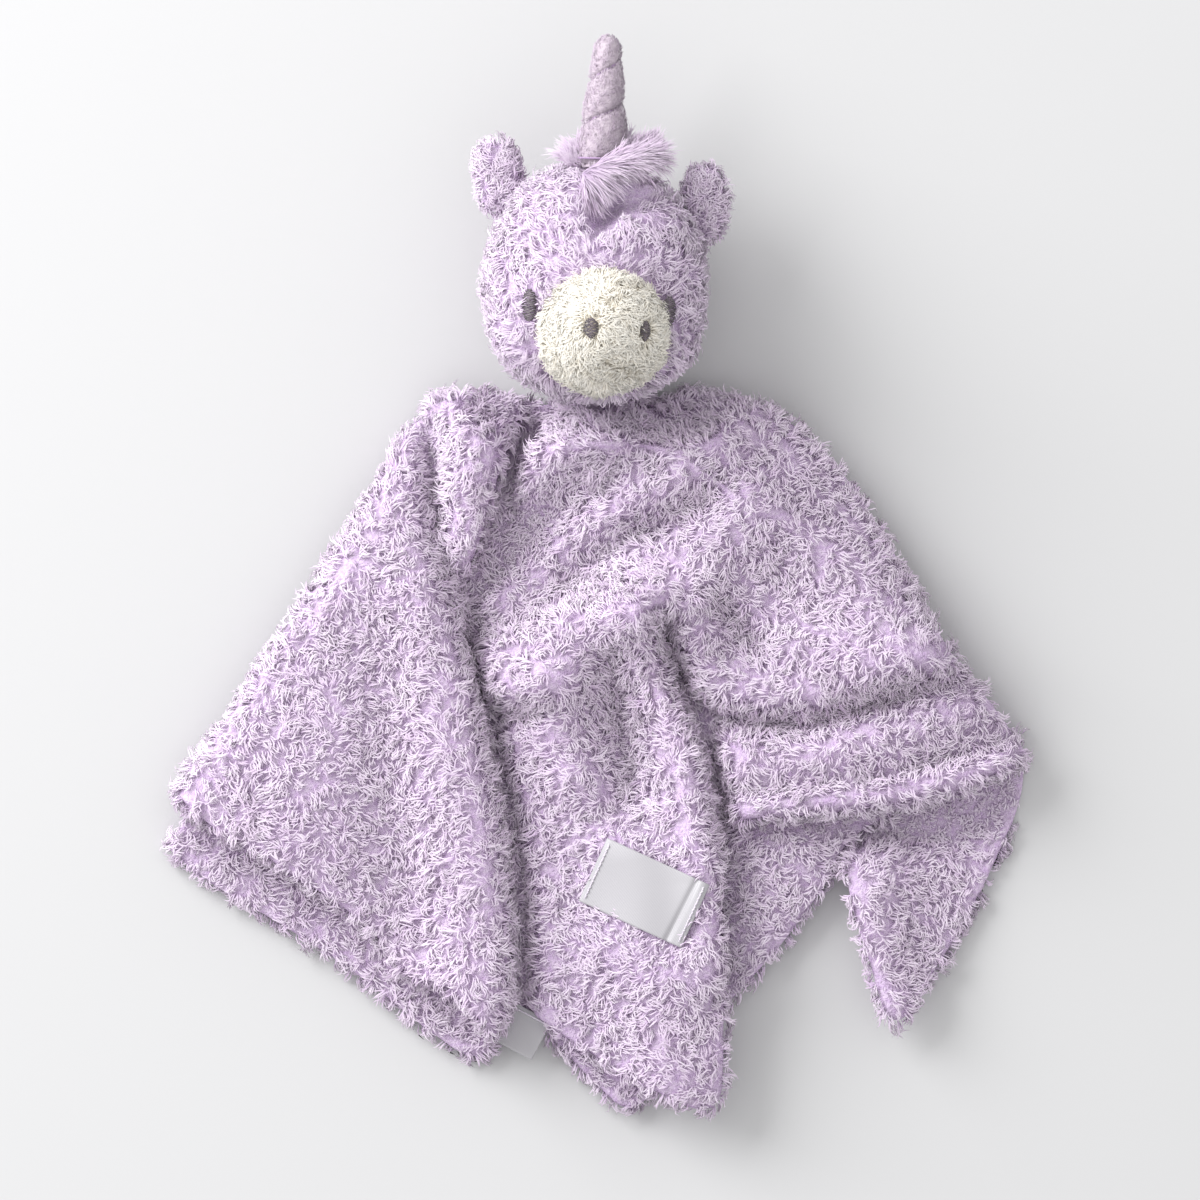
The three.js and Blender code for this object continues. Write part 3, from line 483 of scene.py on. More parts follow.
@dataclass(frozen=True)
class StrandFinish(Finish):
    """Polyester pile, fur or thread: painted shade along each strand, deep at the root and pale at the
    tip, so that the gaps between locks stay dark. It reads the strand's own u for its tint and v for
    the way along it."""

    stops: dict[float, str] = field(default_factory=dict)
    tints: dict[float, str] = field(default_factory=dict)

    def paint(self, tree: Tree, shader: Node) -> None:
        """Multiplies the colour along the strand, which holds the painted shade, by the strand's tint.

        Args:
            tree: of the material.
            shader: its shader.
        """
        place = add_node(tree, "ShaderNodeUVMap", {}, uv_map=BAKE_UV).outputs["UV"]
        shares = add_node(tree, "ShaderNodeSeparateXYZ", {"Vector": place})
        # Painted shade: this ramp darkens each strand towards its root.
        along = self.ramp(tree, shares.outputs["Y"], self.stops)
        tint = self.ramp(tree, shares.outputs["X"], self.tints)
        inputs = {0: 1.0, 6: along, 7: tint}
        mixed = add_node(tree, "ShaderNodeMix", inputs, data_type="RGBA", blend_type="MULTIPLY")
        tree.links.new(mixed.outputs[2], shader.inputs["Base Color"])


@dataclass(frozen=True)
class GroundFinish(Finish):
    """Dense short pile, or the knitted ground under long pile: mottled over a few millimetres, with a
    relief of fibre ends."""

    dark: str = "#000000"
    pale: str = "#ffffff"
    mottle_mm: float = 4.0
    grain_mm: float = 0.6
    relief_mm: float = 0.4

    def paint(self, tree: Tree, shader: Node) -> None:
        """Mixes two tones by coarse noise and raises the surface by fine noise.

        Args:
            tree: of the material.
            shader: its shader.
        """
        place = add_node(tree, "ShaderNodeTexCoord", {}).outputs["Object"]
        coarse = {"Vector": place, "Scale": 1.0 / (self.mottle_mm * MM), "Detail": 4.0}
        mottle = add_node(tree, "ShaderNodeTexNoise", coarse)
        fine = {"Vector": place, "Scale": 1.0 / (self.grain_mm * MM), "Detail": 2.0}
        grain = add_node(tree, "ShaderNodeTexNoise", fine)
        colour = self.ramp(tree, mottle.outputs["Fac"], {0.35: self.dark, 0.65: self.pale})
        tree.links.new(colour, shader.inputs["Base Color"])
        self.raise_by(tree, shader, grain.outputs["Fac"], self.relief_mm)


@dataclass(frozen=True)
class SatinFinish(Finish):
    """Woven polyester satin: fine ribs of weft across the ribbon, drawn a little coarser than the real
    0.2 mm so that they show, and a soft gloss. It reads the ribbon's own UV, in shares of uv_mm."""

    colour: str = "#ffffff"
    shade: str = "#e0e0e0"
    rib_mm: float = 0.5
    relief_mm: float = 0.03
    uv_mm: float = 50.0

    def paint(self, tree: Tree, shader: Node) -> None:
        """Draws the ribs as a wave and links them to colour and relief.

        Args:
            tree: of the material.
            shader: its shader.
        """
        place = add_node(tree, "ShaderNodeUVMap", {}, uv_map=BAKE_UV).outputs["UV"]
        # A wave texture of scale s has 20 s / (2 pi) bands in a unit of its vector.
        scale = self.uv_mm / self.rib_mm * 2.0 * math.pi / 20.0
        inputs = {"Vector": place, "Scale": scale, "Distortion": 0.6, "Detail": 1.0}
        ribs = add_node(tree, "ShaderNodeTexWave", inputs, bands_direction="X")
        colour = self.ramp(tree, ribs.outputs["Fac"], {0.0: self.shade, 0.6: self.colour})
        tree.links.new(colour, shader.inputs["Base Color"])
        self.raise_by(tree, shader, ribs.outputs["Fac"], self.relief_mm)


# Tints of the strands that aren't cream or dark.
TINTS = {0.0: "#ece1ef", 0.35: "#f8f3f9", 0.7: "#ffffff", 1.0: "#faf2fb"}
# Crimped polyester yarn: quite matt, with painted light and shade along each strand: pale where light
# passes through the curls, and mauve at the roots and tucked-down tips as painted shade between them.
# The real fibres are about 0.02 mm; a strand here is a curl of many, as wide as the photo shows one.
CURLY_PILE = StrandFinish(
    "curly_polyester_pile", 0.95, 0.12, gloss=0.08, bloom="#dcbfe8",
    stops={0.0: "#dcc4e6", 0.35: "#e7d7ec", 0.6: "#ece1ee", 1.0: "#e0d1e4"}, tints=TINTS,
)
# The same yarn undyed: a warm white, painted beige towards the roots as shade between the curls.
CREAM_PILE = StrandFinish(
    "cream_polyester_pile", 0.95, 0.12, gloss=0.08, bloom="#fff2dc",
    stops={0.0: "#f4ead8", 0.4: "#fdf8ee", 1.0: "#fffdf8"},
    tints={0.0: "#f6f2ea", 0.5: "#ffffff", 1.0: "#fcfaf5"},
)
# Long uncrimped fur: smoother, so it shines a little along the strands and lies in pale bands, painted
# deeper towards the roots as shade under them.
SILKY_FUR = StrandFinish(
    "silky_straight_fur", 0.6, 0.3, gloss=0.35,
    stops={0.0: "#b79dc1", 0.25: "#ccb8d2", 0.7: "#dfcfe2", 1.0: "#ece0ee"}, tints=TINTS,
)
# Sheared velboa: a short even nap that softens the horn's outline, painted a little darker at its
# roots as shade within the nap.
SHORT_FUZZ = StrandFinish(
    "short_velboa_fuzz", 0.85, 0.3, stops={0.0: "#bcacbc", 1.0: "#d5cad5"}, tints=TINTS,
)
# Rayon satin stitch: rounded threads with a clear gloss and dark lines between them. Each stitch is
# painted paler at its padded middle and darker at both ends, as light on its rounded top and shade
# where it sinks into the cloth.
DARK_THREAD = StrandFinish(
    "rayon_embroidery_thread", 0.36, 0.1, gloss=0.8,
    stops={0.0: "#3f373d", 0.5: "#736870", 1.0: "#3f373d"},
    tints={0.0: "#a59da3", 0.5: "#ffffff", 1.0: "#cfc8cd"},
)
# Spun polyester sewing thread: matt, dyed to match the plush.
LILAC_THREAD = StrandFinish(
    "lilac_sewing_thread", 0.6, 0.1, stops={0.0: "#b199bb", 1.0: "#bda5c6"}, tints=TINTS,
)
# The same thread in white, for the labels.
WHITE_THREAD = StrandFinish(
    "white_sewing_thread", 0.6, 0.1, stops={0.0: "#dedbe2", 1.0: "#e9e6ec"}, tints=TINTS,
)
# Knitted backing full of cut fibre ends: a mottled mauve that is seen only between the curls. Its
# loops are drawn a little coarser than the real 0.5 mm so that they show.
LILAC_GROUND = GroundFinish(
    "lilac_knitted_ground", 0.95, 0.1, gloss=0.08, bloom="#dcbfe8",
    dark="#cdb3d8", pale="#e0cee6", mottle_mm=1.6, grain_mm=0.9, relief_mm=1.0,
)
# The backing of the muzzle's plush: warm white.
CREAM_GROUND = GroundFinish(
    "cream_knitted_ground", 0.95, 0.3,
    dark="#f0e6d4", pale="#faf4e8", mottle_mm=3.0, grain_mm=0.7, relief_mm=0.8,
)
# Velboa under its fuzz: a soft matt skin with faint streaks of nap.
VELBOA = GroundFinish(
    "lilac_velboa", 0.85, 0.4, dark="#bbacba", pale="#ccbfca", mottle_mm=2.2, grain_mm=0.45, relief_mm=0.35,
)
# Woven satin ribbon: smooth and cool white with a soft sheen, the one surface that isn't fluffy.
WHITE_SATIN = SatinFinish("white_woven_satin", 0.38, 0.0, gloss=0.5, colour="#bab8bc", shade="#adabb1")


# Pile


MOST_TRIANGLES = 190000
PILE_FLOOR = 0.15


@dataclass(frozen=True)
class Pile:
    """How pile grows: locks of strands that share a root and a heading.

    Attributes:
        length: of a strand along its curve.
        lock: radius of a lock at its root.
        gather: share of that radius lost by the tip.
        width: of a strand at its widest.
        strands: in a lock.
        segments: along a strand.
        lift: degrees from upright at the root.
        lay: degrees from upright at the tip.
        curl: most degrees that a lock turns sideways by its tip.
        crimp: degrees by which a strand turns to and fro along its length.
        fan: degrees by which the headings in a lock differ.
        ragged: share by which lengths differ.
    """

    length: float
    lock: float
    width: float
    strands: int
    segments: int = 4
    gather: float = 0.4
    lift: float = 38.0
    lay: float = 98.0
    curl: float = 80.0
    crimp: float = 0.0
    fan: float = 6.0
    ragged: float = 0.25

    HEADING_SCATTER = 0.3
    LEAN_SCATTER = 8.0
    STAND_SHARE = 0.6
    CURL_REACH = 1.4
    CRIMP_STEP = 2.4
    STRAND_SHARES = (0.8, 1.12)
    THICK_AT = (0.0, 0.3, 0.7, 1.0)
    THICK_SHARES = (0.9, 1.0, 0.9, 0.1)
    LOCK_TINT = 0.7
    STRAND_TINT = 0.3
    SIDE_BIAS = 0.02

    def grow(
        self, roots: Array, outward: Array, heading: Array, rng: Random,
        stretch: Array | float = 1.0, stand: Array | float = 0.0,
    ) -> list[Shape]:
        """Grows a lock at each root, in batches that keep a piece below MOST_TRIANGLES.

        Args:
            roots: (n, 3) places.
            outward: (n, 3) outward directions.
            heading: (n, 3) directions that the pile lies in.
            rng: random numbers.
            stretch: share of the length for each lock.
            stand: share from 0 to 1 by which each lock stands up.

        Returns:
            The shapes of the strands.
        """
        count = len(roots)
        stretch, stand = np.broadcast_to(stretch, (count,)), np.broadcast_to(stand, (count,))
        each = self.strands * 6 * (self.segments - 1)
        batches = np.array_split(np.arange(count), math.ceil(count * each / MOST_TRIANGLES))
        return [self.locks(roots[b], outward[b], heading[b], rng, stretch[b], stand[b]) for b in batches]

    def locks(
        self, roots: Array, outward: Array, heading: Array, rng: Random, stretch: Array, stand: Array
    ) -> Shape:
        """The strands of one batch.

        Each segment leans from the outward direction towards its strand's heading, by an angle that
        runs evenly from lift to lay. The heading is the lock's, turned a little for each strand, and
        curls on evenly about the outward direction, with a crimp to and fro. Strands start within the
        lock's circle, and draw together towards the tip.

        Args:
            roots: (n, 3) places.
            outward: (n, 3) outward directions.
            heading: (n, 3) directions that the pile lies in.
            rng: random numbers.
            stretch: (n,) share of the length.
            stand: (n,) share by which the lock stands up.

        Returns:
            Their shape.
        """
        size, count = (len(roots), self.strands, 1), len(roots) * self.strands
        forward = unit(heading + rng.normal(0.0, self.HEADING_SCATTER, (len(roots), 3)))
        forward = unit(forward - dot(forward, outward) * outward)[:, None, None]
        aside = np.cross(outward[:, None, None], forward)
        middle = (np.arange(self.segments) + 0.5) / self.segments
        upright = 1.0 - self.STAND_SHARE * stand[:, None, None]
        each = (len(roots), 1, 1)
        lean = self.lift + (self.lay - self.lift) * middle + rng.normal(0.0, self.LEAN_SCATTER, each)
        lean = np.radians(lean + rng.normal(0.0, self.fan, size)) * upright
        curl = rng.uniform(-self.curl, self.curl, each) + rng.normal(0.0, self.fan, size)
        phase = rng.uniform(0, 6, each) + rng.normal(0.0, self.fan / 20, size)
        crimp = self.crimp * np.sin(self.CRIMP_STEP * np.arange(self.segments) + phase)
        turn = np.radians(curl * self.CURL_REACH * middle + crimp + rng.normal(0.0, self.fan, size))
        lying = forward * np.cos(turn)[..., None] + aside * np.sin(turn)[..., None]
        steps = outward[:, None, None] * np.cos(lean)[..., None] + lying * np.sin(lean)[..., None]
        lengths = self.length * stretch * rng.uniform(1 - self.ragged, 1 + self.ragged, len(roots))
        lengths = lengths[:, None, None] * rng.uniform(*self.STRAND_SHARES, size)
        steps = steps * (lengths / self.segments)[..., None]
        line = np.concatenate([np.zeros((*size[:2], 1, 3)), np.cumsum(steps, axis=2)], axis=2)

        share = np.linspace(0.0, 1.0, self.segments + 1)
        out, angle = self.lock * np.sqrt(rng.random(size)), rng.uniform(0, 2 * math.pi, size)
        narrow = 1.0 - self.gather * share
        line = line + (out * np.cos(angle) * narrow)[..., None] * forward
        line = line + (out * np.sin(angle) * narrow)[..., None] * aside
        paths = (roots[:, None, None] + line).reshape(count, -1, 3)
        profile = self.width / 2 * np.interp(share, self.THICK_AT, self.THICK_SHARES)
        tint = np.repeat(rng.random(len(roots)), self.strands) * self.LOCK_TINT
        tint = tint + rng.random(count) * self.STRAND_TINT
        base = np.repeat(outward, self.strands, axis=0)
        sideways = np.cross(base[:, None], np.gradient(paths, axis=1))
        sideways += self.SIDE_BIAS * self.length * np.repeat(aside[:, 0], self.strands, axis=0)
        return tubes(paths, profile, sideways, 3, True, tint, base)


# The blanket's curly plush. The head and the ears have the same, a little shorter and finer.
CURLS = Pile(
    length=5.4, lock=1.3, width=0.5, strands=6, segments=3, gather=0.15,
    lift=22.0, lay=142.0, curl=85.0, crimp=24.0, fan=13.0,
)


@dataclass(frozen=True)
class Swirl:
    """Headings of pile in plan: a mean angle, swung by waves that run in several directions.

    Attributes:
        mean: mean angle in degrees, from +X.
        swing: most degrees that one wave adds.
        wave: shortest wave length.
        seed: of the waves' directions and phases.
    """

    mean: float
    swing: float
    wave: float
    seed: int

    def headings(self, points: Array) -> Array:
        """Headings at places: the angle is the mean plus the sum of six waves' sines.

        Args:
            points: (n, 3) places.

        Returns:
            (n, 3) unit vectors in plan.
        """
        rng = np.random.default_rng(self.seed)
        angle = np.full(len(points), math.radians(self.mean))
        for k in range(6):
            way = rng.normal(size=3)
            way = way / np.linalg.norm(way) * 2 * math.pi / (self.wave * (1 + 0.5 * k))
            angle = angle + math.radians(self.swing) * np.sin(points @ way + rng.uniform(0, 2 * math.pi))
        return np.stack([np.cos(angle), np.sin(angle), np.zeros(len(points))], 1)


def dressed(name: str, shape: Shape, finish: Finish, body: str, slot: str, *nodes: str) -> Object:
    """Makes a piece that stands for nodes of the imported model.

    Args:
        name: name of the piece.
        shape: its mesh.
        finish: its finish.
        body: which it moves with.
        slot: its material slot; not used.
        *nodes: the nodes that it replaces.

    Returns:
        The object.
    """
    made = piece(name, shape, finish.material(), body)
    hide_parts(*nodes)
    return made


def pile_pieces(name: str, shapes: list[Shape], finish: Finish, body: str) -> list[Object]:
    """Makes one object of each shape of pile.

    Args:
        name: their common name.
        shapes: their meshes.
        finish: their finish.
        body: which they move with.

    Returns:
        The objects.
    """
    material = bpy.data.materials.get(finish.name) or finish.material()
    made = []
    for number, shape in enumerate(shapes, 1):
        shape.points[:, 2] = np.maximum(shape.points[:, 2], PILE_FLOOR)
        ending = f"_{number}" if len(shapes) > 1 else ""
        made.append(piece(name + ending, shape, material, body))
    return made


# Stuffed forms


@dataclass(frozen=True)
class Place:
    """Where a form lies: turned about Z by lean degrees, then moved to origin."""

    origin: tuple[float, float, float]
    lean: float = 0.0

    def points(self, local: Array) -> Array:
        """Local points in the layout's frame."""
        return turned(np.asarray(local, float), self.lean) + self.origin

    def local(self, points: Array) -> Array:
        """The layout's points in the local frame."""
        return turned(points - self.origin, -self.lean)

    def vectors(self, local: Array) -> Array:
        """Local directions in the layout's frame."""
        return turned(np.asarray(local, float), self.lean)

    def within(self, outer: "Place") -> "Place":
        """This place, where it is given in the frame of an outer one."""
        return Place(tuple(outer.points(self.origin)), self.lean + outer.lean)

    def moved(self, shape: Shape) -> Shape:
        """A local shape in the layout's frame."""
        return Shape(self.points(shape.points), shape.triangles, shape.uv)


FACE_EDGE = 0.98


@dataclass(frozen=True)
class StuffedForm:
    """A form of |x / across|^p + |y / up or down|^p + |z / front or back|^p = 1, p being squareness."""

    across: float
    up: float
    down: float
    front: float
    back: float
    squareness: float

    def shares(self, points: Array) -> Array:
        """Coordinates divided by the form's reaches on their side.

        Args:
            points: (..., 3) points.

        Returns:
            (..., 3) shares.
        """
        x, y, z = points[..., 0], points[..., 1], points[..., 2]
        y_reach = np.where(y > 0, self.up, self.down)
        z_reach = np.where(z > 0, self.front, self.back)
        return np.stack([x / self.across, y / y_reach, z / z_reach], -1)

    def value(self, points: Array) -> Array:
        """The left side of the form's equation: less than 1 inside."""
        return np.sum(np.abs(self.shares(points)) ** self.squareness, axis=-1)

    def onto(self, points: Array) -> Array:
        """Points moved straight from or to the middle until they lie on the form."""
        return points * (self.value(points) ** (-1.0 / self.squareness))[..., None]

    def normals(self, points: Array) -> Array:
        """Outward directions: the slope of the form's equation.

        Args:
            points: (..., 3) points of the form.

        Returns:
            (..., 3) unit vectors.
        """
        shares = self.shares(points)
        reach = points / np.where(np.abs(shares) < 1e-9, 1.0, shares)
        slope = np.sign(shares) * np.abs(shares) ** (self.squareness - 1.0)
        return unit(slope / np.where(np.abs(shares) < 1e-9, 1.0, np.abs(reach)))

    def rim(self, round_deg: float, forward: float) -> Array:
        """A point of the form's side.

        Args:
            round_deg: angle round Z, from +X.
            forward: height in front of the form's middle.

        Returns:
            The point.
        """
        angle = math.radians(round_deg)
        flat = self.onto(np.array([[math.cos(angle), math.sin(angle), 0.0]]))[0]
        reach = self.front if forward > 0 else self.back
        share = 1.0 - abs(forward / reach) ** self.squareness
        return flat * share ** (1.0 / self.squareness) + np.array([0.0, 0.0, forward])

    def face(self, x: Array, y: Array) -> Array:
        """Points of the form's front; places past its edge are drawn in to it.

        Args:
            x: place sideways.
            y: place upwards.

        Returns:
            (..., 3) points.
        """
        flat = np.stack([x, y, np.zeros_like(x)], -1)
        past = (self.value(flat) > FACE_EDGE)[..., None]
        flat = np.where(past, self.onto(flat + 1e-6) * FACE_EDGE, flat)
        left = np.maximum(1.0 - self.value(flat), 0.0) ** (1.0 / self.squareness)
        return flat + np.stack([np.zeros_like(x), np.zeros_like(x), self.front * left], -1)

    def grown(self, by: float) -> "StuffedForm":
        """The form with each reach longer."""
        sizes = [size + by for size in (self.across, self.up, self.down, self.front, self.back)]
        return StuffedForm(*sizes, self.squareness)

    def shape(self, rings: int, sides: int) -> Shape:
        """The form as a mesh of rings round Z, each a slice of a ball carried out to the form.

        Args:
            rings: number of rings.
            sides: corners of a ring.

        Returns:
            Its closed mesh.
        """
        polar = np.linspace(0.0, math.pi, rings + 2)[1:-1][:, None]
        angles = 2.0 * math.pi * np.arange(sides) / sides
        x, y = np.sin(polar) * np.cos(angles), np.sin(polar) * np.sin(angles)
        ball = np.stack(np.broadcast_arrays(x, y, np.cos(polar)), -1)
        points = np.concatenate([ball.reshape(-1, 3), [[0.0, 0.0, 1.0], [0.0, 0.0, -1.0]]])
        return Shape(self.onto(points), capped_rings(rings, sides, clockwise=True))


def waves(points: Array, wave: float, seed: int) -> Array:
    """Smooth uneven values: the sum of seven sine waves of several directions and lengths, divided by
    half their number so that it reaches about 1.

    Args:
        points: (n, 3) places.
        wave: length that the waves are near.
        seed: of their directions, lengths and phases.

    Returns:
        (n,) values.
    """
    rng = np.random.default_rng(seed)
    value = np.zeros(len(points))
    for _ in range(7):
        way = unit(rng.normal(size=3)) * 2 * math.pi / (wave * rng.uniform(0.8, 1.8))
        value += np.sin(points @ way + rng.uniform(0, 2 * math.pi)) / 3.5
    return value


def lumpy(shape: Shape, height: float, wave: float, seed: int) -> Shape:
    """A shape whose skin is pushed in and out by waves, as uneven filling does.

    Args:
        shape: the shape.
        height: most that it is pushed.
        wave: length of the waves.
        seed: of the waves.

    Returns:
        The lumpy shape.
    """
    push = height * waves(shape.points, wave, seed)
    return Shape(shape.points + shape.normals() * push[:, None], shape.triangles, shape.uv)


HEAD_FORM = StuffedForm(39.0, 46.5, 36.5, 33.0, 33.0, 2.3)
MUZZLE_FORM = StuffedForm(24.5, 26.0, 21.0, 29.0, 16.0, 2.1)
EAR_FORM = StuffedForm(8.4, 15.0, 13.0, 4.2, 4.2, 2.5)
NECK_FORM = StuffedForm(17.0, 4.0, 30.0, 12.0, 20.0, 2.2)
HEAD_LEAN = -3.0
HEAD_HEIGHT = 37.0
NECK_IN_HEAD = HEAD_FORM.rim(math.degrees(math.atan2(-36.5, 3.9)), -14.0)
HEAD = Place(tuple(turned(-NECK_IN_HEAD, HEAD_LEAN) * (1, 1, 0) + (0, 0, HEAD_HEIGHT)), HEAD_LEAN)
MUZZLE_ASIDE = 3.1
MUZZLE = Place((MUZZLE_ASIDE, -12.5, 16.0)).within(HEAD)
HORN_BASE = HEAD_FORM.rim(90.0, 8.0)
HORN = Place(tuple(HORN_BASE)).within(HEAD)
THREAD_BALL = 12.4


def hollowed(shape: Shape, side: int) -> Shape:
    """A shape with a round hollow at the neck for its threads.

    Args:
        shape: the head or the gathered neck.
        side: 1 where the hollow is pushed towards the horn, -1 towards the hem.

    Returns:
        The shape whose points inside the ball lie on it instead.
    """
    away = shape.points - NECK
    inside = np.sum(away * away, axis=1) < THREAD_BALL**2
    deep = np.sqrt(np.maximum(THREAD_BALL**2 - away[:, 0] ** 2 - away[:, 2] ** 2, 0.0))
    points = shape.points.copy()
    points[inside, 1] = NECK[1] + side * deep[inside]
    return Shape(points, shape.triangles, shape.uv)


# Drape


class Edge(Enum):
    """The edge on which a layer of the blanket folds under itself."""

    NONE = "none"
    LEFT = "left"
    RIGHT = "right"
    BOTH = "both"


class Spline:
    """A smooth line through places. Between two of them each coordinate is the cubic that leaves and
    arrives with half the difference of the places on either side. Shares run evenly with its length."""

    def __init__(self, pixels: tuple[tuple[int, int], ...]) -> None:
        """Measures the line.

        Args:
            pixels: of the view from above, which it goes through.
        """
        places = on_table(pixels)
        self.places = np.concatenate([places[:1], places, places[-1:]])
        self.steps = np.linspace(0.0, len(places) - 1.0, 201)
        pieces = np.linalg.norm(np.diff(self.cubic(self.steps), axis=0), axis=1)
        self.lengths = np.concatenate([[0.0], np.cumsum(pieces)])

    def cubic(self, place: Array) -> Array:
        """Points of the line.

        Args:
            place: how far along, counted in steps between the given places.

        Returns:
            (..., 2) points in plan.
        """
        cell = np.clip(np.floor(place).astype(int), 0, len(self.places) - 4)
        t = (place - cell)[..., None]
        a, b, c, d = (self.places[cell + k] for k in range(4))
        leave, arrive = (c - a) / 2, (d - b) / 2
        bend = 3 * (c - b) - 2 * leave - arrive
        return (2 * (b - c) + leave + arrive) * t**3 + bend * t**2 + leave * t + b

    def at(self, share: Array) -> Array:
        """Points at shares of the length."""
        return self.cubic(np.interp(share * self.lengths[-1], self.lengths, self.steps))


FOLD_FULLNESS = 1.6
CREASE_FULLNESS = 1.8


@dataclass(frozen=True)
class Fold:
    """A fold: its line in pixels, its height as a share of the plush's thickness, and its width as a
    share of the blanket's side. Where drop isn't 0, it is the width on the right of the line, seen
    from its first pixel, so that the fold overhangs there."""

    line: tuple[tuple[int, int], ...]
    height: float
    width: float
    drop: float = 0.0

    def rise(self, places: Array) -> Array:
        """Height in mm: height * exp(-(distance to the line / width)^2), fuller than the share says,
        because plush stands on a fold and parts over a crease.

        Args:
            places: (..., 2) places in plan.

        Returns:
            (...) heights.
        """
        line = on_table(self.line)
        nearest = np.full(places.shape[:-1], np.inf)
        width = np.full(places.shape[:-1], self.width)
        for start, end in zip(line[:-1], line[1:]):
            along, out = end - start, places - start
            share = np.clip(out @ along / (along @ along), 0.0, 1.0)
            away = np.linalg.norm(out - share[..., None] * along, axis=-1)
            right = along[0] * out[..., 1] < along[1] * out[..., 0]
            width = np.where(away < nearest, np.where(right & (self.drop > 0), self.drop, self.width), width)
            nearest = np.minimum(nearest, away)
        full = self.height * PLUSH * (FOLD_FULLNESS if self.height > 0 else CREASE_FULLNESS)
        return full * np.exp(-((nearest / (width * BLANKET_SIDE)) ** 2))


RIM_STEPS = np.array([0.0, 0.13, 0.5, 1.0])


def edge_shares(count: int, length: Array, inset: float, first: float, last: float) -> Array:
    """Shares of a length at which cloth is divided: close steps in a rim at each end, and even ones.

    Args:
        count: places from rim to rim.
        length: (n,) lengths.
        inset: how far inside the outline the cloth ends.
        first: width of the first rim.
        last: width of the last rim.

    Returns:
        (n, count + 6) shares.
    """
    length = np.atleast_1d(length)[:, None]
    fit = np.minimum(1.0, 0.45 * length / (inset + max(first, last)))
    low = (inset + RIM_STEPS * first) * fit
    high = length - (inset + RIM_STEPS[::-1] * last) * fit
    even = np.linspace(0.0, 1.0, count)[1:-1]
    middle = low[:, -1:] + (high[:, :1] - low[:, -1:]) * even
    return np.concatenate([low, middle, high], axis=1) / length


@dataclass(frozen=True)
class Layer:
    """A layer of the draped blanket: its outline in pixels, its folds, how many thicknesses lie under
    it, the edge where it folds under itself, and its divisions from neck to hem and from left to
    right."""

    under: float
    rolled: Edge
    rows: int
    columns: int
    neck: tuple[tuple[int, int], ...]
    left: tuple[tuple[int, int], ...]
    hem: tuple[tuple[int, int], ...]
    right: tuple[tuple[int, int], ...]
    folds: tuple[Fold, ...]

    INSET = 2.4
    RIM = 2.0
    ROLL = 10.0
    PILE_ABOVE = 2.5
    CLOTH = 3.5
    LOWEST = 0.8
    THINNEST = 0.6
    RISE_WIDTH_SHARE = 0.1
    RISE_SHARE = 2

    def edges(self) -> tuple[Spline, Spline, Spline, Spline]:
        """The lines at the neck, left, hem and right."""
        left = Spline((self.neck[0], *self.left, self.hem[0]))
        right = Spline((self.neck[-1], *self.right, self.hem[-1]))
        return Spline(self.neck), left, Spline(self.hem), right

    def plan(self, across: Array, along: Array) -> Array:
        """Places in plan: the Coons patch of the four edges, which is the sum of the straight blends
        between opposite edges less the blend of the four corners.

        Args:
            across: (n, m) shares from left to right.
            along: (n, 1) shares from neck to hem.

        Returns:
            (n, m, 2) places.
        """
        neck, left, hem, right = self.edges()
        a, s = across[..., None], np.broadcast_to(along, across.shape)[..., None]
        ruled = neck.at(across) * (1 - s) + hem.at(across) * s
        ruled = ruled + left.at(along) * (1 - a) + right.at(along) * a
        corners = [on_table(c) for c in (self.neck[0], self.neck[-1], self.hem[0], self.hem[-1])]
        flat = (corners[0] * (1 - a) + corners[1] * a) * (1 - s) + (corners[2] * (1 - a) + corners[3] * a) * s
        return ruled - flat

    def relief(self, places: Array) -> Array:
        """The sum of the folds' rises at places in plan."""
        return sum((fold.rise(places) for fold in self.folds), np.zeros(places.shape[:-1]))

    def top(self, places: Array) -> Array:
        """Height of the middle of the upper pile: the layers under it, its own thickness, its folds,
        and a rise to the neck.

        Args:
            places: (..., 2) places in plan.

        Returns:
            (...) heights.
        """
        top = (self.under + 1) * PLUSH + self.relief(places)
        if self.under == 0:
            return top
        away = np.linalg.norm(places, axis=-1) / (self.RISE_WIDTH_SHARE * BLANKET_SIDE)
        return top + self.RISE_SHARE * PLUSH * np.exp(-away * away)

    def cloth(self) -> Shape:
        """The cloth between the two piles: a closed shell whose rim is half an oval. A rolled edge is a
        wide rim, where the underside goes down to the table."""
        _, left, _, right = self.edges()
        length = (left.lengths[-1] + right.lengths[-1]) / 2
        along = edge_shares(self.rows, np.array([length]), self.INSET, self.RIM, self.RIM)[0][:, None]
        width = np.linalg.norm(left.at(along[:, 0]) - right.at(along[:, 0]), axis=1)
        first = self.ROLL if self.rolled in (Edge.LEFT, Edge.BOTH) else self.RIM
        last = self.ROLL if self.rolled in (Edge.RIGHT, Edge.BOTH) else self.RIM
        across = edge_shares(self.columns, width, self.INSET, first, last)
        places = self.plan(across, along)
        upper = np.minimum(self.top(places), head_room(places)) - self.PILE_ABOVE
        upper = np.maximum(upper, self.LOWEST + self.THINNEST)
        lower = np.maximum(upper - self.CLOTH, self.LOWEST)
        for edges, share in (((Edge.LEFT, Edge.BOTH), across), ((Edge.RIGHT, Edge.BOTH), 1.0 - across)):
            if self.rolled in edges:
                inward = smooth(share * width[:, None] / (1.8 * self.ROLL))
                lower = self.LOWEST + (lower - self.LOWEST) * inward
        counts = (self.rows, self.columns)
        steps = [np.concatenate([RIM_STEPS, np.ones(n - 2), RIM_STEPS[::-1]]) for n in counts]
        rim = np.minimum(steps[0][:, None], steps[1][None, :])
        full = np.sqrt(np.maximum(1.0 - (1.0 - rim) ** 2, 0.0))
        middle = (upper + lower) / 2
        heights = [middle + (upper - middle) * full, middle - (middle - lower) * full]
        sheets = [np.concatenate([places, height[..., None]], -1) for height in heights]
        return shell(sheets[0], sheets[1], rim == 0)


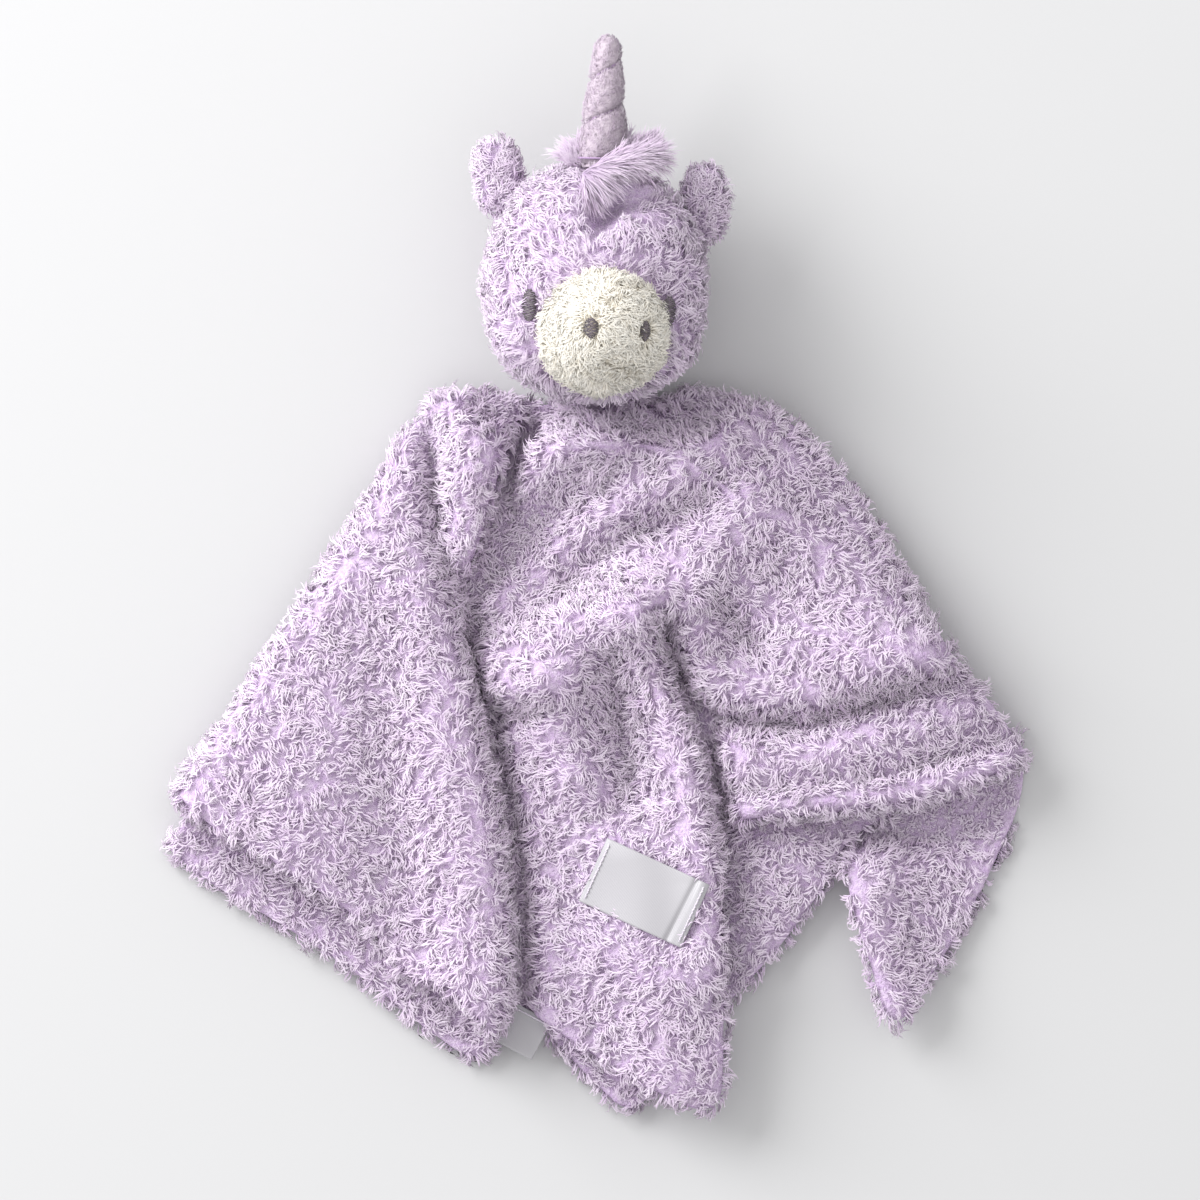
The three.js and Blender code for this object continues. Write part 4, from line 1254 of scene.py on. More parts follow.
def shell(upper: Array, lower: Array, shared: Array) -> Shape:
    """A closed shell of two grids.

    Args:
        upper: (rows, columns, 3) points; rows run towards the hem and columns to the right.
        lower: the same for the underside.
        shared: (rows, columns) true along the rim, where both grids use the upper point.

    Returns:
        Its shape.
    """
    numbers = np.arange(shared.size).reshape(shared.shape)
    own = np.cumsum(~shared.ravel()).reshape(shared.shape) - 1 + shared.size
    beneath = np.where(shared, numbers, own)
    points = np.concatenate([upper.reshape(-1, 3), lower[~shared]])
    return Shape(points, np.concatenate([grid_triangles(numbers)[:, ::-1], grid_triangles(beneath)]))


ROOM_CELL = 2.0
ROOM_REACH = 72.0
ROOM_NONE = 90.0
ROOM_HEIGHT = 45.0
ROOM_MARGIN = 2.0
ROOM_TURNS = (-25.0, 0.0, 25.0)
ROOM_NODS = (0.0, 17.5, 35.0)
ROOM_TILTS = (-15.0, 0.0, 15.0)


@cache
def room_map() -> Array:
    """Height under the head over a square grid about the neck: the lowest that the head or the muzzle
    reaches as the neck turns, nods and tilts, or ROOM_NONE where it reaches none."""
    line = np.arange(-ROOM_REACH, ROOM_REACH + ROOM_CELL, ROOM_CELL)
    heights = np.arange(1.0, ROOM_HEIGHT)
    points = np.stack(np.meshgrid(line, line, heights, indexing="ij"), -1)
    inside = np.zeros(points.shape[:-1], bool)
    wide, nose = HEAD_FORM.grown(ROOM_MARGIN), MUZZLE_FORM.grown(ROOM_MARGIN)
    for turn, nod, tilt in product(ROOM_TURNS, ROOM_NODS, ROOM_TILTS):
        back = turned(turned(turned(points - NECK, -turn, 1), -nod, 0), -tilt, 2) + NECK
        inside |= wide.value(HEAD.local(back)) < 1.0
        inside |= nose.value(MUZZLE.local(back)) < 1.0
    return np.where(inside.any(axis=2), heights[inside.argmax(axis=2)], ROOM_NONE)


def head_room(places: Array) -> Array:
    """Height under the head: the four nearest cells of the map, weighted by nearness.

    Args:
        places: (..., 2) places in plan.

    Returns:
        (...) heights.
    """
    rooms = room_map()
    cell = np.clip((places + ROOM_REACH) / ROOM_CELL, 0.0, len(rooms) - 1.001)
    low = cell.astype(int)
    x, y = np.moveaxis(cell - low, -1, 0)
    i, j = np.moveaxis(low, -1, 0)
    near = rooms[i, j] * (1 - x) * (1 - y) + rooms[i + 1, j] * x * (1 - y)
    return near + rooms[i, j + 1] * (1 - x) * y + rooms[i + 1, j + 1] * x * y


BACK = Layer(
    under=0.0, rolled=Edge.NONE, rows=60, columns=60,
    neck=((548, 402), (600, 412), (640, 394)),
    left=((452, 412), (408, 450), (374, 510), (337, 580), (297, 645), (252, 705), (207, 765)),
    hem=(
        (158, 848), (205, 888), (283, 934), (360, 985), (430, 1040), (480, 1066), (512, 1018),
        (548, 1042), (590, 1086), (634, 1120), (664, 1079), (736, 1004), (789, 944), (828, 890),
        (862, 838), (960, 790), (1026, 752),
    ),
    right=((740, 417), (800, 447), (846, 502), (885, 572), (924, 640), (978, 707)),
    folds=(Fold(((790, 850), (760, 930)), 0.3, 0.04),),
)
CORNER = Layer(
    under=0.15, rolled=Edge.NONE, rows=40, columns=30,
    neck=((862, 790), (950, 755), (1024, 724)),
    left=((860, 822), (841, 866), (846, 910), (863, 965), (875, 1005)),
    hem=((886, 1022), (899, 1025), (908, 1015)),
    right=((1030, 770), (1022, 812), (1001, 860), (979, 905), (949, 955)),
    folds=(
        Fold(((872, 862), (868, 910), (888, 1000)), 0.6, 0.035),
        Fold(((985, 850), (960, 920)), -0.15, 0.03),
        Fold(((850, 834), (890, 826), (945, 812), (1015, 785)), -0.75, 0.03),
    ),
)
FRONT = Layer(
    under=0.95, rolled=Edge.RIGHT, rows=110, columns=100,
    neck=((566, 404), (602, 413), (642, 408), (690, 389)),
    left=((525, 450), (485, 520), (448, 600), (436, 700), (446, 800), (464, 900)),
    hem=(
        (484, 980), (520, 1010), (562, 1040), (610, 1071), (660, 1100), (700, 1117), (723, 1105),
        (726, 1040), (723, 950), (719, 880), (738, 829), (800, 822), (880, 812), (940, 800),
        (1005, 778), (1036, 750),
    ),
    right=((744, 397), (802, 422), (850, 470), (890, 530), (930, 600), (960, 650), (1000, 700)),
    folds=(
        Fold(((640, 450), (575, 480), (530, 520)), -0.35, 0.025),
        Fold(((660, 470), (550, 522), (500, 575)), -0.45, 0.025),
        Fold(((705, 500), (624, 536), (566, 579), (505, 622)), -0.5, 0.022),
        Fold(((660, 604), (600, 614), (545, 634), (480, 662)), 0.5, 0.05, 0.018),
        Fold(((482, 694), (530, 694)), 0.35, 0.03, 0.012),
        Fold(((484, 713), (506, 716), (530, 712)), -0.6, 0.012),
        Fold(
            ((528, 432), (516, 456), (504, 500), (488, 550), (466, 600), (470, 650), (484, 700)),
            -0.85, 0.015,
        ),
        Fold(((484, 700), (496, 760), (510, 830), (519, 900), (520, 960), (518, 1010)), -0.85, 0.015),
        Fold(((730, 450), (640, 500), (520, 610)), 0.3, 0.03),
        Fold(((760, 500), (690, 580), (540, 690)), 0.5, 0.045),
        Fold(
            ((712, 960), (708, 880), (698, 800), (686, 740), (670, 690), (655, 640), (630, 612)),
            0.75, 0.03, 0.02,
        ),
        Fold(((560, 680), (575, 780)), 0.5, 0.03),
        Fold(((612, 660), (632, 790)), -0.4, 0.02),
        Fold(((640, 860), (655, 960), (680, 1060)), 0.7, 0.06),
        Fold(((664, 625), (674, 660), (688, 692), (706, 735), (718, 790), (726, 835)), -1.4, 0.014),
        Fold(((650, 596), (700, 590), (757, 640), (940, 655)), 0.5, 0.035),
        Fold(((686, 655), (712, 688), (760, 700), (810, 698), (870, 676), (950, 656)), 0.6, 0.03, 0.014),
        Fold(((945, 645), (905, 605), (860, 565), (800, 535), (748, 500)), 0.5, 0.055, 0.018),
        Fold(((720, 605), (758, 643)), -0.5, 0.016),
        Fold(((704, 712), (760, 726), (812, 722), (880, 698), (966, 674)), -0.4, 0.016),
        Fold(((735, 765), (800, 765), (900, 735), (990, 705)), 0.6, 0.035),
        Fold(((742, 812), (800, 806), (880, 796), (938, 784), (1000, 762)), 0.55, 0.014),
        Fold(((600, 430), (640, 470)), 0.9, 0.07),
        Fold(((740, 440), (820, 520), (860, 600)), 0.8, 0.08),
    ),
)
LEFT = Layer(
    under=1.55, rolled=Edge.BOTH, rows=90, columns=70,
    neck=((434, 403), (466, 391), (502, 389), (542, 402)),
    left=(
        (402, 432), (380, 470), (353, 516), (331, 552), (304, 592), (278, 628), (256, 662),
        (231, 702), (204, 738), (182, 768),
    ),
    hem=(
        (170, 796), (213, 833), (246, 850), (290, 880), (330, 905), (369, 936), (411, 981),
        (441, 990), (470, 1018), (500, 1052),
    ),
    right=(
        (518, 440), (499, 500), (484, 550), (464, 600), (466, 650), (480, 700), (491, 760),
        (505, 830), (512, 900), (515, 960), (513, 1010),
    ),
    folds=(
        Fold(((428, 430), (435, 480), (440, 540), (456, 590)), -0.85, 0.018),
        Fold(((505, 410), (480, 480), (460, 550)), 0.5, 0.04),
        Fold(((430, 620), (455, 760), (480, 900), (485, 1010)), 0.6, 0.05),
        Fold(((400, 560), (340, 720), (290, 830)), 0.4, 0.08),
        Fold(((385, 640), (395, 780), (420, 930)), -0.25, 0.04),
    ),
)
LAYERS = (BACK, CORNER, FRONT, LEFT)


# Blanket


@dataclass(frozen=True)
class Ribbon:
    """A label in plan: the pixel of its reference place, its turn, and its size in mm."""

    pixels: tuple[float, float]
    turn: float
    length: float
    width: float

    def place(self, height: float = 0.0) -> Place:
        """Its place in the layout."""
        x, y = on_table(self.pixels)
        return Place((float(x), float(y), height), self.turn)

    def covers(self, points: Array, margin: float) -> Array:
        """Finds the points over the label, whatever their height.

        Args:
            points: (n, 3) places.
            margin: how far inside its edges they have to be.

        Returns:
            (n,) true for these.
        """
        x, y, _ = np.abs(self.place().local(points)).T
        return (x < self.length / 2 - margin) & (y < self.width / 2 - margin)

    def grid(self, rows: int, columns: int) -> tuple[Array, Array]:
        """A grid over the label.

        Args:
            rows: of it, towards the hem.
            columns: of it, from left to right.

        Returns:
            (rows, columns) distances sideways from the middle in mm, and shares of the way down.
        """
        across = np.linspace(-0.5, 0.5, columns)[None, :] * self.length
        down = np.linspace(0.0, 1.0, rows)[:, None]
        return np.broadcast_to(across, (rows, columns)), np.broadcast_to(down, (rows, columns))


LABEL = Ribbon((644.0, 892.0), -24.5, 39.0, 24.0)
CARE = Ribbon((534.0, 1012.0), -28.0, 14.0, 15.0)


@dataclass
class Blanket:
    """The blanket: its cloth in four layers with the gathered neck, and its pile."""

    density: float = 0.172
    pile: Pile = CURLS
    under_density: float = 0.04
    under_pile: Pile = Pile(length=4.5, lock=1.6, width=0.8, strands=5, segments=2, lay=85.0)
    cell: float = 1.5
    samples: int = 260

    # A face shows within SEEN_DEPTH of the top cloth. It is underside where it faces down by more than
    # UNDER_FACING, and a rim where it faces up or down by less than RIM_FACING.
    SEEN_DEPTH = 6.0
    UNDER_FACING = -0.75
    RIM_FACING = 0.7
    RIM_WEIGHT = 1.3
    SHADED_WEIGHT = 0.4
    GAP_WEIGHT = 0.05
    GAP_HEIGHT = 2.0
    UNDER_HEIGHT = 3.0
    LABEL_MARGIN = 1.2
    LABEL_BORDER = 7.0
    CLUMP_WAVE = 7.0
    PLEATS = 6
    PLEAT_SHARE = 0.07

    def build(self) -> None:
        cloths = [layer.cloth() for layer in LAYERS]
        cloths.append(self.neck())
        cloth = dressed("blanket_cloth", joined(cloths), LILAC_GROUND, "blanket", "curly_plush", "blanket")
        rng = np.random.default_rng(11)
        heights = self.height_map()
        shapes = []
        for number, shape in enumerate(cloths):
            shapes += self.cover(shape, heights, rng, number)
        made = pile_pieces("blanket_pile", shapes, CURLY_PILE, "blanket")

    def neck(self) -> Shape:
        """The gathered centre: a stuffed form whose radius is drawn in by six pleats, hollow for the
        threads and flat on the table."""
        shape = NECK_FORM.grown(-2.0).shape(40, 72)
        angle = np.arctan2(shape.points[:, 2], shape.points[:, 0])
        drawn = 1.0 - self.PLEAT_SHARE + self.PLEAT_SHARE * np.cos(self.PLEATS * angle)
        points = shape.points * np.stack([drawn, np.ones_like(drawn), drawn], 1) + NECK
        shape = hollowed(Shape(points, shape.triangles), -1)
        shape.points[:, 2] = np.maximum(shape.points[:, 2], Layer.LOWEST)
        room = head_room(shape.points[:, :2]) - 2.0
        low = shape.points[:, 2] > room
        shape.points[low, 2] = np.maximum(room[low], Layer.LOWEST)
        return shape

    def cells(self, places: Array) -> tuple[Array, Array]:
        """Row and column in the height map of places in plan."""
        found = np.floor((places + BLANKET_SIDE / 2 + (0.0, 100.0)) / self.cell).astype(int)
        return found[..., 1], found[..., 0]

    def height_map(self) -> tuple[Array, Array]:
        """Greatest height of the cloth over each cell, lowered to the least within two cells, so that
        edges stay uncovered, and within six, to find what shows in the gaps at hems."""
        size = int(1.6 * BLANKET_SIDE / self.cell)
        heights = np.zeros((size, size))
        share = np.linspace(0.0, 1.0, self.samples)
        for layer in LAYERS:
            across, along = np.meshgrid(share, share)
            places = layer.plan(across, share[:, None])
            rows, columns = self.cells(places)
            np.maximum.at(heights, (rows, columns), np.minimum(layer.top(places), head_room(places)))
        lowered = []
        for reach in (2, 6):
            least = heights
            for axis in (0, 1):
                least = np.min([np.roll(least, step, axis) for step in range(-reach, reach + 1)], axis=0)
            lowered.append(least)
        return lowered[0], lowered[1]

    def cover(self, shape: Shape, heights: tuple[Array, Array], rng: Random, number: int) -> list[Shape]:
        """Pile on one layer: full where it shows from above, sparse in the gaps at hems, short and thin
        on the side that lies on the table, and none between layers.

        Args:
            shape: the layer's cloth.
            heights: the two height maps.
            rng: random numbers.
            number: of the layer.

        Returns:
            Its pile.
        """
        centre = shape.points[shape.triangles].mean(axis=1)
        normal = shape.faces()
        area = np.linalg.norm(normal, axis=1) / 2
        upward = normal[:, 2] / np.maximum(2 * area, 1e-9)
        rows, columns = self.cells(centre[:, :2])
        open_, gap = (centre[:, 2] > least[rows, columns] - self.SEEN_DEPTH for least in heights)
        head = HEAD_FORM.grown(-4.0)
        local = HEAD.local(centre)
        local[:, 2] = 0.0
        shaded = np.where(head.value(local) < 1.0, self.SHADED_WEIGHT, 1.0)
        rim = np.where(np.abs(upward) < self.RIM_FACING, self.RIM_WEIGHT, 1.0)
        sparse = np.where(gap & (centre[:, 2] > self.GAP_HEIGHT), self.GAP_WEIGHT, 0.0)
        weight = np.where((upward > self.UNDER_FACING) & open_, shaded * rim, sparse)
        locks = int(self.density * np.sum(area * weight))
        shapes = []
        if locks:
            roots, outward = scattered(shape, locks, rng, weight)
            keep = ~LABEL.covers(roots, self.LABEL_MARGIN) & ~self.near_care(roots)
            roots, outward = roots[keep], outward[keep]
            shapes += self.grown(roots, outward, rng, number)
        under = np.where((upward < self.UNDER_FACING) & (centre[:, 2] < self.UNDER_HEIGHT), 1.0, 0.0)
        locks = int(self.under_density * np.sum(area * under))
        if locks:
            roots, outward = scattered(shape, locks, rng, under)
            heading = Swirl(-90.0, 60.0, 40.0, 5).headings(roots)
            shapes += self.under_pile.grow(roots, outward, heading, rng)
        return shapes

    def grown(self, roots: Array, outward: Array, rng: Random, number: int) -> list[Shape]:
        """The pile that shows: its heading swirls in plan, and turns outwards and down at the rims. It
        is longer in clumps, and shorter round the label and in creases.

        Args:
            roots: (n, 3) places.
            outward: (n, 3) outward directions.
            rng: random numbers.
            number: of the layer.

        Returns:
            Its strands.
        """
        level = outward * (1.0, 1.0, 0.0)
        steep = np.linalg.norm(level, axis=1, keepdims=True)
        heading = Swirl(-95.0, 42.0, 26.0, 21 + number).headings(roots)
        heading = heading * (1.0 - 0.6 * steep) + level * 0.9 + np.array([0.0, 0.0, -0.3]) * steep
        near = LABEL.covers(roots, -self.LABEL_BORDER)
        clump = waves(roots, self.CLUMP_WAVE, 61)
        stretch = np.where(near, 0.8, 1.0) * (1.0 + 0.25 * clump)
        if number < len(LAYERS):
            crease = -LAYERS[number].relief(roots[:, :2])
            stretch = stretch * (1.0 - 0.5 * smooth((crease - 2.5) / 4.0))
        stand = 0.35 * steep[:, 0] + 0.25 * np.maximum(clump, 0)
        return self.pile.grow(roots, outward, heading, rng, stretch, stand)

    def near_care(self, roots: Array) -> Array:
        """Finds the roots in the space that the care label swings through.

        Args:
            roots: (n, 3) places.

        Returns:
            (n,) true for these.
        """
        local = CARE.place().local(roots)
        beside = np.abs(local[:, 0]) < CARE.length / 2 + 0.5
        along = (local[:, 1] < 1.0) & (local[:, 1] > -CARE.width)
        return beside & along & (local[:, 2] > 5.5)


# Head


@dataclass(frozen=True)
class Oval:
    """An embroidered oval on a stuffed form, with threads side by side across it."""

    name: str
    form: StuffedForm
    place: Place
    centre: tuple[float, float, float]
    width: float
    height: float
    spacing: float = 0.62
    thread: float = 0.3

    DEEP = 9.0
    FAR = 99.0
    PLACES = 15

    def basis(self) -> Array:
        """Unit vectors, one to a row: sideways, outwards and down, in the form's frame."""
        out = self.form.normals(np.array(self.centre))
        sideways = unit(np.cross((0.0, 1.0, 0.0), out))
        return np.stack([sideways, out, np.cross(sideways, out)])

    def away(self, points: Array) -> Array:
        """Distance of points from the middle, as a share of the oval's reach their way.

        Args:
            points: (n, 3) places.

        Returns:
            (n,) shares, or FAR where a place is on another side of the form.
        """
        local = (self.place.local(points) - self.centre) @ self.basis().T
        flat = np.hypot(local[:, 0] / (self.width / 2), local[:, 2] / (self.height / 2))
        return np.where(np.abs(local[:, 1]) < self.DEEP, flat, self.FAR)

    def parting(self, points: Array, strength: float, spread: float) -> Array:
        """Directions that part pile round the oval: straight away from its middle, with a strength of
        exp(-(distance from its edge)^2 / spread), where the distance is a share.

        Args:
            points: (n, 3) places.
            strength: at the oval's edge.
            spread: how far the parting reaches.

        Returns:
            (n, 3) directions.
        """
        out = unit(points - self.place.points(self.centre))
        return out * strength * np.exp(-((self.away(points) - 1.0) ** 2) / spread)[:, None]

    def stitches(self, rng: Random) -> Shape:
        """The threads: each crosses the oval at its own height, wavers by a third of the spacing, and
        lies on the form, which is padded a little in the middle.

        Args:
            rng: random numbers.

        Returns:
            Their shape.
        """
        rows = np.arange(-self.height / 2 + self.spacing / 2, self.height / 2, self.spacing)
        half = self.width / 2 * np.sqrt(1.0 - (rows / (self.height / 2)) ** 2)
        half = half * rng.uniform(0.94, 1.06, len(rows))
        share = np.linspace(-1.0, 1.0, self.PLACES)
        waver = np.sin(share * 5.0 + rng.uniform(0, 6, (len(rows), 1))) * self.spacing / 3
        sideways, _, down = self.basis()
        flat = (half[:, None] * share)[..., None] * sideways + (rows[:, None] + waver)[..., None] * down
        points = self.form.onto(self.centre + flat)
        padding = 0.1 + 0.4 * (1.0 - share**4) * (1.0 - (rows / (self.height / 2))[:, None] ** 2 * 0.5)
        points = points + self.form.normals(points) * padding[..., None]
        sides = np.broadcast_to(down, (len(rows), 3))
        radii = np.full(self.PLACES, self.thread)
        return self.place.moved(tubes(points, radii, sides, 6, False, rng.random(len(rows))))


EYE_WIDTH = 5.6
EYE_HEIGHT = 11.2
EYE_DROP = 4.8
NOSTRIL_HEIGHT = 6.6
NOSTRIL_RISE = 0.9


def head_oval(name: str, side_deg: float) -> Oval:
    """An eye, on the head at an angle from straight ahead.

    Args:
        name: of its node.
        side_deg: the angle, to the right in the view from above.

    Returns:
        The oval.
    """
    front = np.array([math.sin(math.radians(side_deg)), 0.0, math.cos(math.radians(side_deg))])
    centre = HEAD_FORM.onto(front) * (1, 0, 1) - (0.0, EYE_DROP, 0.0)
    return Oval(name, HEAD_FORM, HEAD, tuple(centre), EYE_WIDTH, EYE_HEIGHT)


def muzzle_oval(name: str, sideways: float, width: float) -> Oval:
    """A nostril, on the muzzle at a distance from the head's middle.

    Args:
        name: of its node.
        sideways: the distance, to the right in the view from above.
        width: of the nostril.

    Returns:
        The oval.
    """
    centre = MUZZLE_FORM.face(np.array(sideways - MUZZLE_ASIDE), np.array(NOSTRIL_RISE))
    return Oval(name, MUZZLE_FORM, MUZZLE, tuple(centre), width, NOSTRIL_HEIGHT)


@dataclass
class Head:
    """The stuffed head and muzzle, with their pile and embroidery."""

    pile: Pile = replace(CURLS, length=5.6, width=0.48, lift=24.0, lay=132.0, curl=80.0)
    nose_pile: Pile = Pile(
        length=4.2, lock=1.2, width=0.38, strands=7, segments=3, lift=26.0, lay=112.0, curl=60.0, fan=16.0
    )
    hollow: Fold = Fold(((602, 224), (616, 206), (632, 192), (648, 180)), -0.75, 0.014)
    density: float = 0.19
    nose_density: float = 0.7
    nose_area: float = 6800.0
    eyes: tuple[Oval, ...] = (head_oval("left_eye", -38.0), head_oval("right_eye", 44.0))
    nostrils: tuple[Oval, ...] = (
        muzzle_oval("left_nostril", -0.6, 5.0),
        muzzle_oval("right_nostril", 18.0, 4.4),
    )

    # Where the pile stays off: near the eyes' and nostrils' middles, in shares of their reach, near the
    # ball round the neck's threads and the horn's foot, and in the brow's crease below this rise.
    EYE_BARE = 0.86
    NOSTRILS_BARE = (0.96, 0.6)
    SEAM_BARE = 0.8
    FOOT_BARE = 8.2
    FOOT_BARE_ALONG = 8.0
    CREASE_BARE = -1.5

    def build(self) -> None:
        """Makes the head, the muzzle and the embroidery."""
        rng = np.random.default_rng(31)
        self.cranium(rng)
        self.nose(rng)
        for oval in (*self.eyes, *self.nostrils):
            made = oval.stitches(rng)
            dressed(f"{oval.name}_stitches", made, DARK_THREAD, "head", "dark_thread", oval.name)

    def cranium(self, rng: Random) -> None:
        """The head's cloth, filled out unevenly, and its curly pile, which leaves the eyes, the muzzle,
        the horn's foot and the neck's seam free and heads away from the muzzle and the eyes.

        Args:
            rng: random numbers.
        """
        skin = lumpy(HEAD_FORM.grown(-2.2).shape(44, 72), 0.8, 24.0, 3)
        skin = hollowed(HEAD.moved(skin), 1)
        front = smooth((skin.points[:, 2] - HEAD_HEIGHT) / 6.0)
        skin.points[:, 2] += self.hollow.rise(skin.points[:, :2]) * front
        panels = ("head_left_panel", "head_right_panel", "head_back_panel", "head_filling")
        cloth = dressed("head_cloth", skin, LILAC_GROUND, "head", "curly_plush", *panels)
        area = np.linalg.norm(skin.faces(), axis=1).sum() / 2
        roots, outward = scattered(skin, int(area * self.density), rng)
        free = MUZZLE_FORM.grown(-1.4).value(MUZZLE.local(roots)) > 1.0
        free &= np.linalg.norm(roots - NECK, axis=1) > THREAD_BALL + self.SEAM_BARE
        x, y, z = HORN.local(roots).T
        free &= ~((np.hypot(x, z) < self.FOOT_BARE) & (np.abs(y) < self.FOOT_BARE_ALONG))
        free &= (self.hollow.rise(roots[:, :2]) > self.CREASE_BARE) | (roots[:, 2] < HEAD_HEIGHT)
        for oval in self.eyes:
            free &= oval.away(roots) > self.EYE_BARE
        roots, outward = roots[free], outward[free]
        nose = np.array(MUZZLE.origin) + (0.0, 0.0, 10.0)
        heading = unit(roots - nose) * 0.35 + Swirl(-90.0, 60.0, 22.0, 8).headings(roots)
        for oval in self.eyes:
            heading = heading + oval.parting(roots, 1.6, 0.2)
        rim = (MUZZLE_FORM.value(MUZZLE.local(roots)) - 1.0) / 0.4
        made = self.pile.grow(roots, outward, heading, rng, 1.0, 0.75 * np.exp(-rim * rim))
        pile_pieces("head_pile", made, CURLY_PILE, "head")

    def nose(self, rng: Random) -> None:
        """The muzzle's cloth and its cream pile, shorter than the head's and parted round the
        nostrils.

        Args:
            rng: random numbers.
        """
        skin = MUZZLE.moved(lumpy(MUZZLE_FORM.grown(-1.6).shape(30, 48), 0.5, 18.0, 4))
        nodes = ("muzzle_panel", "muzzle_filling")
        cloth = dressed("muzzle_cloth", skin, CREAM_GROUND, "head", "cream_plush", *nodes)
        roots, outward = scattered(skin, int(self.nose_area * self.nose_density), rng)
        free = HEAD_FORM.grown(-1.0).value(HEAD.local(roots)) > 1.0
        for oval, bare in zip(self.nostrils, self.NOSTRILS_BARE):
            free &= oval.away(roots) > bare
        roots, outward = roots[free], outward[free]
        middle = np.array(MUZZLE.origin) + (0.0, 2.0, 0.0)
        heading = unit(roots - middle) * (1.0, 1.0, 0.2) + Swirl(-90.0, 70.0, 12.0, 9).headings(roots) * 0.9
        for oval in self.nostrils:
            heading = heading + oval.parting(roots, 2.5, 1.0)
        made = self.nose_pile.grow(roots, outward, heading, rng)
        pile_pieces("muzzle_pile", made, CREAM_PILE, "head")


@dataclass
class Ear:
    """An ear: a flat stuffed leaf of the head's plush, on a body of its own."""

    side: str
    round_deg: float
    lean_deg: float
    seed: int
    rise: float = 11.0
    pile: Pile = replace(CURLS, length=4.8, lock=1.2, width=0.44, lay=125.0, curl=80.0)
    density: float = 0.34
    area: float = 1100.0

    def build(self) -> None:
        """Makes the cloth, which is shaped by the head, and its pile, which heads for the ear's tip."""
        foot = HEAD_FORM.rim(self.round_deg, -4.0)
        foot = foot + 0.3 * HEAD_FORM.normals(foot)
        lean = self.lean_deg - 90.0
        middle = turned(np.array([0.0, self.rise, 0.0]), lean) + foot
        place = Place(tuple(middle), lean).within(HEAD)
        skin = place.moved(lumpy(EAR_FORM.grown(-1.6).shape(24, 40), 0.4, 12.0, self.seed))
        ear = f"{self.side}_ear"
        nodes = (f"{ear}_front", f"{ear}_back")
        cloth = dressed(f"{ear}_cloth", skin, LILAC_GROUND, ear, "curly_plush", *nodes)
        rng = np.random.default_rng(self.seed)
        roots, outward = scattered(skin, int(self.area * self.density), rng)
        free = HEAD_FORM.grown(0.5).value(HEAD.local(roots)) > 1.0
        roots, outward = roots[free], outward[free]
        tip = place.vectors(np.array([0.0, 1.0, 0.0]))
        heading = tip * 0.9 + Swirl(-90.0, 60.0, 14.0, self.seed).headings(roots)
        made = self.pile.grow(roots, outward, heading, rng)
        pile_pieces(f"{ear}_pile", made, CURLY_PILE, ear)


# Horn


